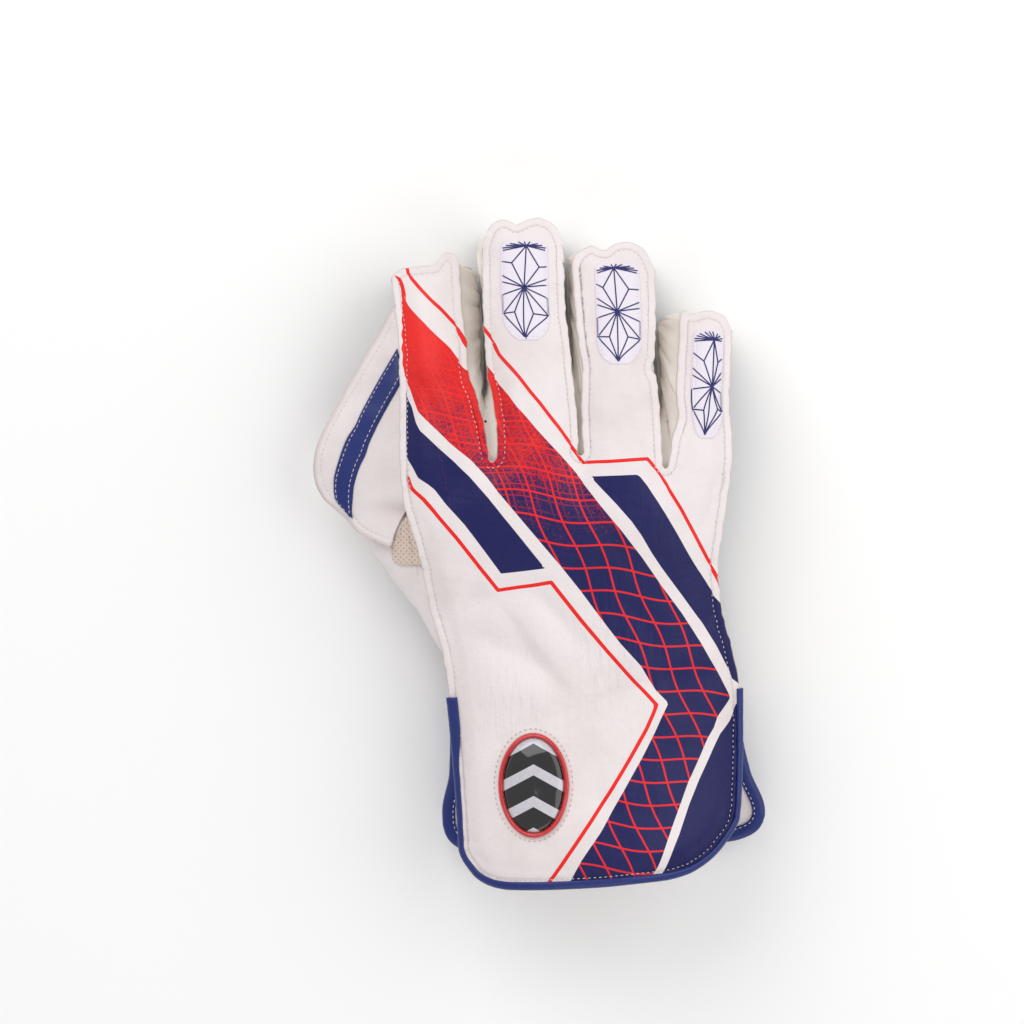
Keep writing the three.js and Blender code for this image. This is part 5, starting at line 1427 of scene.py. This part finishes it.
def inset_open(run, inset):
    """An open run of places moved to its inner side."""
    travel = np.gradient(run, axis=0)
    travel /= np.linalg.norm(travel, axis=1, keepdims=True)
    side = np.stack([travel[:, 1], -travel[:, 0]], 1)
    if side[:, 0].mean() < 0:
        side = -side
    return resampled(run + side * inset, 1.0)


# Stripe on the web: its two edges in pixels
STRIPE_LEFT = ((397, 348), (390, 360), (380, 377), (370, 395), (360, 414), (355, 425), (347, 437), (342, 448),
               (338, 460), (335, 470), (333, 480), (333, 490), (335, 500), (342, 509), (349, 516))
STRIPE_RIGHT = ((404, 376), (398, 388), (390, 402), (380, 420), (375, 430), (369, 443), (365, 455),
                (360, 465), (356, 476), (353, 488), (352, 500), (351, 512), (352, 518))


def from_pixels(line):
    """Pixels of the photograph as millimetres from the knuckle line, y running up."""
    c = np.array(line, float)
    return np.stack([(c[:, 0] - CENTRE_PIXEL[0]) * PIXEL, (CENTRE_PIXEL[1] - c[:, 1]) * PIXEL], 1)


def even(line, count):
    """A softly bent line as evenly spaced places."""
    c = rounded(line)
    t = running_length(c)
    at = np.linspace(0, t[-1], count)
    return np.stack([np.interp(at, t, c[:, k]) for k in (0, 1)], 1)


def laid_strip(name, edges, count, across, tree, material, slot, node):
    """A strip between two edges in pixels, laid on a surface, its sides turned down."""
    left, right = (from_pixels(even(line, count)) for line in edges)
    share = np.linspace(0, 1, across)
    place = left[None] + (right - left)[None] * share[:, None, None]
    points, normals = lay_on(tree, place[..., 0], place[..., 1])
    lift = CLEARANCE + TRIM_LEATHER * np.sqrt(np.clip(1 - np.abs(2 * share - 1) ** 8, 0.05, 1))
    upper = points + normals * lift[:, None, None]
    obj = make_mesh(name, *closed(upper, points + normals * 0.1, grid_faces(upper.shape[:2])))
    recalculate(obj)
    dress(obj, material, slot, node)
    return obj, upper, normals


def build_stripe(tree):
    """A strip of trim leather laid on the web, with a stitch row along each edge."""
    obj, upper, normals = laid_strip("web_trim", (STRIPE_LEFT, STRIPE_RIGHT), 90, 13, tree,
                                     MATERIALS["trim"], "trim_leather", "web_stripe")
    return [(upper[k] + normals[k] * 0.1, normals[k]) for k in (2, 10)]


# Gusset in the fork: its two edges in pixels
GUSSET_LEFT = ((409, 513), (404, 523), (399, 532), (394, 543), (392, 552), (393, 560), (398, 564.5))
GUSSET_RIGHT = ((412, 513), (414, 523), (417, 532), (420, 543), (423, 552), (426, 560), (428, 565))


def build_gusset(tree):
    """Perforated gusset laid on the stall's upper side in the fork."""
    obj, upper, _ = laid_strip("fork_gusset", (GUSSET_LEFT, GUSSET_RIGHT), 44, 15, tree,
                               MATERIALS["gusset"], "gusset_leather", "thumb_gusset")


def build_flap():
    """The palm side's cuff flap: the palm's columns from the wrist seam to the hem."""
    finger, place = columns_of_hand()
    grid = hand_grid(PALM, finger, place, np.linspace(1, WRIST_SHARE + 0.001, FLAP_ROWS))
    faces = grid_faces(grid.shape[:2])
    flat = grid.reshape(-1, 3)
    edge, _ = edge_distance(flat, outline_of(flat, faces))
    x = flat[:, 0]
    sag = 0.36 * waves(x, 81, (61.0, 37.0, 22.0)) * smooth(edge / 12) * (np.abs(x) > 30)
    flat = flat + normals_of(flat, faces) * sag[:, None]
    solid, shell = slab(flat, faces, normals_of(flat, faces), PALM_LEATHER / 2, PALM_LEATHER / 2)
    obj = make_mesh("palm_cuff_flap", solid, shell)
    dress(obj, MATERIALS["flap"], "white_leather", "cuff_flap_palm")
    return grid


def edge_path(grid, left_row, right_row):
    """Down a grid's left side from a row, along its first row and up its right side to a row."""
    left, hem, right = grid[0, left_row:0:-1], grid[:, 0], grid[-1, 1:right_row + 1]
    return np.concatenate([left, hem, right])


def binding(name, node, path, normals, leather, width, growth, seed):
    """Leather folded over an edge: a rounded channel carried along the path, with a fine wrinkle, and
    growing wider up its left side."""
    slot = leather / 2 + 0.05
    outside = slot + TRIM_LEATHER
    turn = np.linspace(-np.pi / 2, np.pi / 2, 11)
    lip = outside * 0.95
    inner = lip - width
    inner_part = np.array([1, 1, 0] + [0] * 9 + [0, 1, 1, 1, 0, 0, 1.0])
    upper = [(inner, outside - 0.25), (inner + 0.5, outside + 0.08), (0.0, outside + 0.12)]
    round_ = [(lip * np.cos(a), -outside * np.sin(a)) for a in turn]
    section = upper + round_[1:-1] + [(0.0, -outside), (inner + 0.5, -outside), (inner, -outside + 0.25),
                                      (inner, -slot), (0.1, -slot), (0.1, slot), (inner, slot)]
    section = np.array(section)
    p = resampled(np.concatenate([path, normals], 1), BINDING_STEP)
    path, normals = p[:, :3], p[:, 3:]
    travel = np.gradient(path, axis=0)
    travel /= np.linalg.norm(travel, axis=1, keepdims=True)
    out = np.cross(travel, normals)
    out /= np.linalg.norm(out, axis=1, keepdims=True)
    up = np.cross(out, travel)
    wrinkle = 1 + 0.045 * waves(np.arange(len(path)) * BINDING_STEP, seed, (11.0, 6.1, 3.9))
    wider = growth * smooth((-path[:, 0] - 30) / 20) * smooth((path[:, 1] + 150) / 22)
    across = section[None, :, 0] - inner_part[None] * wider[:, None]
    ring = across[..., None] * out[:, None] + section[None, :, 1, None] * up[:, None] * wrinkle[:, None, None]
    rows, places = len(path), len(section)
    obj = make_mesh(name, (path[:, None] + ring).reshape(-1, 3), ring_faces(rows, places, 3)[:, ::-1])
    end = np.arange(places)
    join_faces(obj, [end, end[::-1] + (rows - 1) * places], soft=False)
    dress(obj, MATERIALS["trim"], "trim_leather", node)
    return path + out * (inner + 1.1) + up * (outside + 0.1), up


def build_bindings(flap):
    """Both cuffs' bound edges, each between a row of its left side and one of its right, with a white stitch
    row on the palm side's."""
    finger, place = columns_of_hand()
    back = hand_grid(BACK, finger, place, np.linspace(1, 0, HAND_ROWS))
    for name, grid, rows, leather, width, growth, seed in (
            ("back", back, (51, 49), BACK_LEATHER, BINDING_WIDTH, 2.4, 91),
            ("palm", flap, (52, 52), PALM_LEATHER, PALM_BINDING_WIDTH, 0.0, 92)):
        normals = normals_of(grid.reshape(-1, 3), grid_faces(grid.shape[:2])).reshape(grid.shape)
        row = binding(f"{name}_cuff_binding", f"cuff_binding_{name}", edge_path(grid, *rows),
                      edge_path(normals, *rows), leather, width, growth, seed)
        if name == "palm":
            sewn("palm_cuff_binding_stitches", [row], MATERIALS["thread"], thread=0.22)


# Patches: finger, place across, from and to along the finger, width share
PATCHES = (("middle", 1, 0.51, 0.479, 0.905, 1.0), ("ring", 2, 0.53, 0.43, 0.9, 0.95),
           ("little", 3, 0.56, 0.17, 0.875, 0.66))


def patch_grid(f, across, start, end, wide):
    """Where a patch lies: its midline, its half width there, rounded at the root and nearly square at the
    tip by a circle's formula, and its places from side to side."""
    share = np.linspace(start, end, PATCH_ROWS)
    left, right = (column_of(BACK_FINGERS[f]["rows"], c)(share) * HALF_WIDTH for c in (1, 2))
    centre = mix(left, right, across)
    root = HAND_LENGTH * (BACK["crotches"][f] + BACK["crotches"][f + 1]) / 2
    y = root + FINGER_LENGTH * BACK_FINGERS[f]["length"] * share
    t = np.linspace(-1, 1, PATCH_ROWS)
    bend = np.where(t < 0, 0.94 * np.clip(-t - 0.52, 0, 1) / 0.48, 0.72 * np.clip(t - 0.84, 0, 1) / 0.16)
    half = PATCH_WIDTH / 2 * wide * np.sqrt(1 - bend**2)
    s = np.linspace(-1, 1, PATCH_COLUMNS)[:, None]
    inwards = np.minimum((1 - np.abs(s)) * half[None], (1 - np.abs(t)[None]) * (y[-1] - y[0]) / 2)
    return centre, y, half, centre[None] + half[None] * s, inwards


def build_patches(tree):
    """The three patches: each a thin pad laid on a finger, its edges rolled down and its stitch line pressed
    in, with its figure and its stitches."""
    for name, f, *spec in PATCHES:
        centre, y, half, x, edge = patch_grid(f, *spec)
        base, normal = lay_on(tree, x, np.broadcast_to(y[None], x.shape))
        lift = 0.12 + 0.75 * np.sqrt(smooth(edge / 1.4)) + 0.35 * smooth((edge - 2.4) / 4)
        lift = lift - 0.3 * bell((edge - 2.0) / 0.5)
        upper = base + normal * lift[..., None]
        faces = grid_faces(x.shape)
        obj = make_mesh(f"{name}_patch", *closed(upper, base + normal * 0.02, faces))
        recalculate(obj)
        dress(obj, MATERIALS["patch"], "patch_fabric", f"finger_patch_{name}")
        draw_leaf_pattern(name, surface_below(upper.reshape(-1, 3), faces), centre, y, half)
        runs = [(upper[k, 6:-6], normal[k, 6:-6]) for k in (3, -4)]
        runs += [(upper[4:-4, r], normal[4:-4, r]) for r in (3, -4)]
        sewn(f"{name}_patch_stitches", runs, MATERIALS["thread"], slot="patch_fabric", thread=0.16,
             length=1.4, pitch=2.2)


# Hemp-leaf figures: stars on the midline, upper kites and lower kites, as (across in half widths, along from
# 0 at the root to 1 at the tip), and the points on the edges that the rays run to
LEAF = dict(
    middle=(((-0.19, 0.02), (-0.02, 0.53), (0.1, 0.946)), ((-0.5625, 0.7745), (0.667, 0.73)),
            ((-0.5, 0.284), (0.333, 0.265))),
    ring=(((-0.065, 0.029), (-0.065, 0.519), (-0.15, 0.952)), ((-0.696, 0.755), (0.52, 0.74)),
          ((-0.457, 0.269), (0.413, 0.269))),
    little=(((-0.2, 0.036), (0.4, 0.477), (0.4, 0.91)), ((-0.257, 0.712), (0.72, 0.7)),
            ((-0.257, 0.26), (0.72, 0.27))),
)
RAYS = (((-1, 0.65), (-1, 0.585), (-1, 0.455), (-1, 0.27), (-1, 0.79)),
        ((1, 0.61), (1, 0.55), (1, 0.42), (1, 0.245), (1, 0.735)))
BURST = ((0.95, 0.9), (0.98, 0.925), (0.85, 0.95), (0.7, 0.97), (0.35, 0.99))


def leaf_lines(name):
    """The figure's straight lines as pairs of places."""
    (root, middle, top), upper, lower = LEAF[name]
    lines = [(root, middle), (middle, top), (top, (0, 1.0))]
    for high, low, (first, second, third, fourth, fifth) in zip(upper, lower, RAYS):
        lines += [(middle, high), (high, top), (high, fifth), (root, low), (low, middle), (low, fourth),
                  (fourth, root), (middle, first), (middle, second), (middle, third), (middle, fourth),
                  (third, fourth)]
    return lines + [(top, (side * a, b)) for side in (-1, 1) for a, b in BURST]


def draw_leaf_pattern(name, tree, centre, y, half):
    """Thin raised ink strips along the figure's lines, laid on the patch."""
    t = np.linspace(0, 1, len(y))
    f = np.linspace(0, 1, INK_STEPS)
    quads = grid_faces((2, INK_STEPS))
    points, faces = [], []
    for (ax, ay), (bx, by) in leaf_lines(name):
        along = np.clip(mix(ay, by, f), 0.012, 0.988)
        c, h, yy = (np.interp(along, t, v) for v in (centre, half, y))
        xx = c + mix(ax, bx, f) * np.minimum(h * 0.93, h - 0.6)
        travel = np.array([xx[-1] - xx[0], yy[-1] - yy[0]])
        travel /= max(np.linalg.norm(travel), 1e-9)
        side = np.array([-travel[1], travel[0]]) * INK_HALF_WIDTH
        faces.append(quads + INK_STEPS * len(points))
        for sign in (1, -1):
            place, normal = lay_on(tree, xx + side[0] * sign, yy + side[1] * sign)
            points.append(place + normal * 0.07)
    obj = make_mesh(f"{name}_patch_figure", np.concatenate(points), np.concatenate(faces))
    dress(obj, MATERIALS["ink"], "patch_fabric")


# The badge
def badge_material(kind):
    """Glossy badge enamel under a clear dome: silver chevrons on a black field, or plain red for the rim."""
    material, n, shader = new_material(f"badge {kind}", 0.25, coat=1.0, coat_roughness=0.04)
    place = n.place()
    if kind == "rim":
        lead(n, shader, n.blend(n.noise(place, 90.0), linear(214, 36, 40), linear(186, 22, 30)))
        return material
    flake = n.noise(place, 500.0)
    silver = n.blend(flake, linear(216, 214, 220), linear(188, 186, 194))
    black = n.blend(flake, linear(24, 22, 24), linear(34, 32, 36))
    mask = n.step(n.field("bars"), -0.06, 0.06)
    lead(n, shader, n.blend(mask, black, silver), n.times_plus(mask, 0.1, 0.16))
    return material


def badge_rings(tree, shares, heights, inset, places=BADGE_PLACES):
    """Ovals round the badge's middle at shares of its half sizes, seated on the back and lifted."""
    angle = np.linspace(0, 2 * np.pi, places, endpoint=False)
    reach = np.reshape(shares, (-1, 1))
    x = BADGE["x"] * HALF_WIDTH + (BADGE["width"] / 2 - inset) * reach * np.cos(angle)
    y = BADGE["y"] * HAND_LENGTH + (BADGE["length"] / 2 - inset) * reach * np.sin(angle)
    base, _ = lay_on(tree, x, y)
    base[..., 2] += np.reshape(heights, (-1, 1))
    return base


def build_badge(tree):
    """A domed oval badge in a raised red rim, with an oval of stitches round it."""
    rise = BADGE["height"]
    t = np.linspace(0, 1, 24)
    inner = BADGE["rim"] * 0.9
    dome = 0.35 + rise * (1.15 * (1 - t**2.6) ** 0.55 + 0.25)
    points = badge_rings(tree, np.append(t[1:], 1.0), np.append(dome[1:], 0.1), inner)
    cx, cy = BADGE["x"] * HALF_WIDTH, BADGE["y"] * HAND_LENGTH
    top = lay_on(tree, [cx], [cy])[0]
    top[0, 2] += dome[0]
    flat = np.concatenate([points.reshape(-1, 3), top])
    x, y = flat[:, 0] - cx, flat[:, 1] - cy
    bars = 2.6 - np.abs((y + 0.55 * np.abs(x)) % 15.0 - 7.5)
    obj = make_mesh("badge_dome", flat, ring_faces(len(points), BADGE_PLACES), {"bars": bars})
    k = np.arange(BADGE_PLACES)
    join_faces(obj, np.stack([np.full(BADGE_PLACES, len(flat) - 1), k, np.roll(k, -1)], 1))
    dress(obj, badge_material("face"), "badge_face", "badge_face")
    a = np.linspace(0, np.pi, 13)
    insets = inner / 2 + BADGE["rim"] / 2 * np.cos(a) - 0.3
    high = 0.1 + rise * 0.85 * np.sin(a) ** 0.7
    rows = [badge_rings(tree, 1.0, h, inset)[0] for inset, h in zip(insets, high)]
    rim = make_mesh("badge_bezel", np.concatenate(rows), ring_faces(len(rows), BADGE_PLACES))
    recalculate(rim)
    dress(rim, badge_material("rim"), "badge_rim", "badge_rim")
    ring = badge_rings(tree, 1.0, 0.1, -2.2, 160)[0]
    normals = np.tile([0.0, 0.0, 1.0], (len(ring), 1))
    sewn("badge_stitches", [(ring, normals)], MATERIALS["dark_thread"])


def build_back_stitches(tree, outline):
    """The stitch row that runs round every edge of the back, on its printed face."""
    runs = rows_on(tree, inset_path(outline, seam_inset(outline[:, 1])))
    sewn("back_seam_stitches", runs, MATERIALS["thread"], thread=0.22)


back_tree, back_outline = build_back()
build_palm()
build_walls()
thumb_tree = build_thumb()
build_web()
build_gusset(thumb_tree)
build_bindings(build_flap())
build_patches(back_tree)
build_badge(back_tree)
build_back_stitches(back_tree, back_outline)


# Floor, lights and camera: lamps as (name, place in metres, size, watts)
FLOOR_HALF = 1500.0
FLOOR_WHITE = (0.96, 0.96, 0.96, 1)
WORLD_WHITE = (1, 0.995, 0.99, 1)
WORLD_STRENGTH = 0.53
LAMPS = (("key", (-0.7, 1.1, 1.2), 1.4, 12.5), ("fill", (1.1, 0.3, 1.1), 1.5, 9.5),
         ("low", (0.1, -1.3, 0.9), 1.2, 4.5))
CAMERA_HEIGHT = 2.6
CAMERA_FOCUS = 0.05
SENSOR = 36
PHOTO_SIDE = 1024


def build_floor():
    """A wide plain floor at the glove's underside."""
    corners = np.array([(-1.0, -1, 0), (1, -1, 0), (1, 1, 0), (-1, 1, 0)]) * FLOOR_HALF
    floor = make_mesh("floor", corners - SHIFT, np.array([[0, 1, 2, 3]]))
    material, _, shader = new_material("studio floor", 0.9, 0.1)
    shader.inputs["Base Color"].default_value = FLOOR_WHITE
    floor.data.materials.append(material)


def build_lights():
    """An even white sky and three soft lamps turned to the middle of the floor."""
    world = bpy.data.worlds.new("studio")
    bpy.context.scene.world = world
    world.use_nodes = True
    sky = world.node_tree.nodes["Background"]
    sky.inputs["Color"].default_value = WORLD_WHITE
    sky.inputs["Strength"].default_value = WORLD_STRENGTH
    for name, place, size, power in LAMPS:
        light = bpy.data.lights.new(name, "AREA")
        light.size, light.energy = size, power
        lamp = link_object(name, light)
        lamp.location = place
        lamp.rotation_euler = Vector(place).to_track_quat("Z", "Y").to_euler()


def build_camera():
    """A camera straight above the photograph's middle that sees its whole side at the glove's height."""
    camera = bpy.data.cameras.new("camera")
    camera.sensor_width = SENSOR
    camera.lens = SENSOR * (CAMERA_HEIGHT - CAMERA_FOCUS) / (PHOTO_SIDE * PIXEL * 0.001)
    holder = link_object("camera", camera)
    middle = to_frame(np.append(from_pixels([(PHOTO_SIDE / 2, PHOTO_SIDE / 2)])[0], 0.0))
    holder.location = (float(middle[0]), float(middle[1]), CAMERA_HEIGHT)
    bpy.context.scene.camera = holder
    bpy.context.scene.view_settings.view_transform = "Standard"


build_floor()
build_lights()
build_camera()
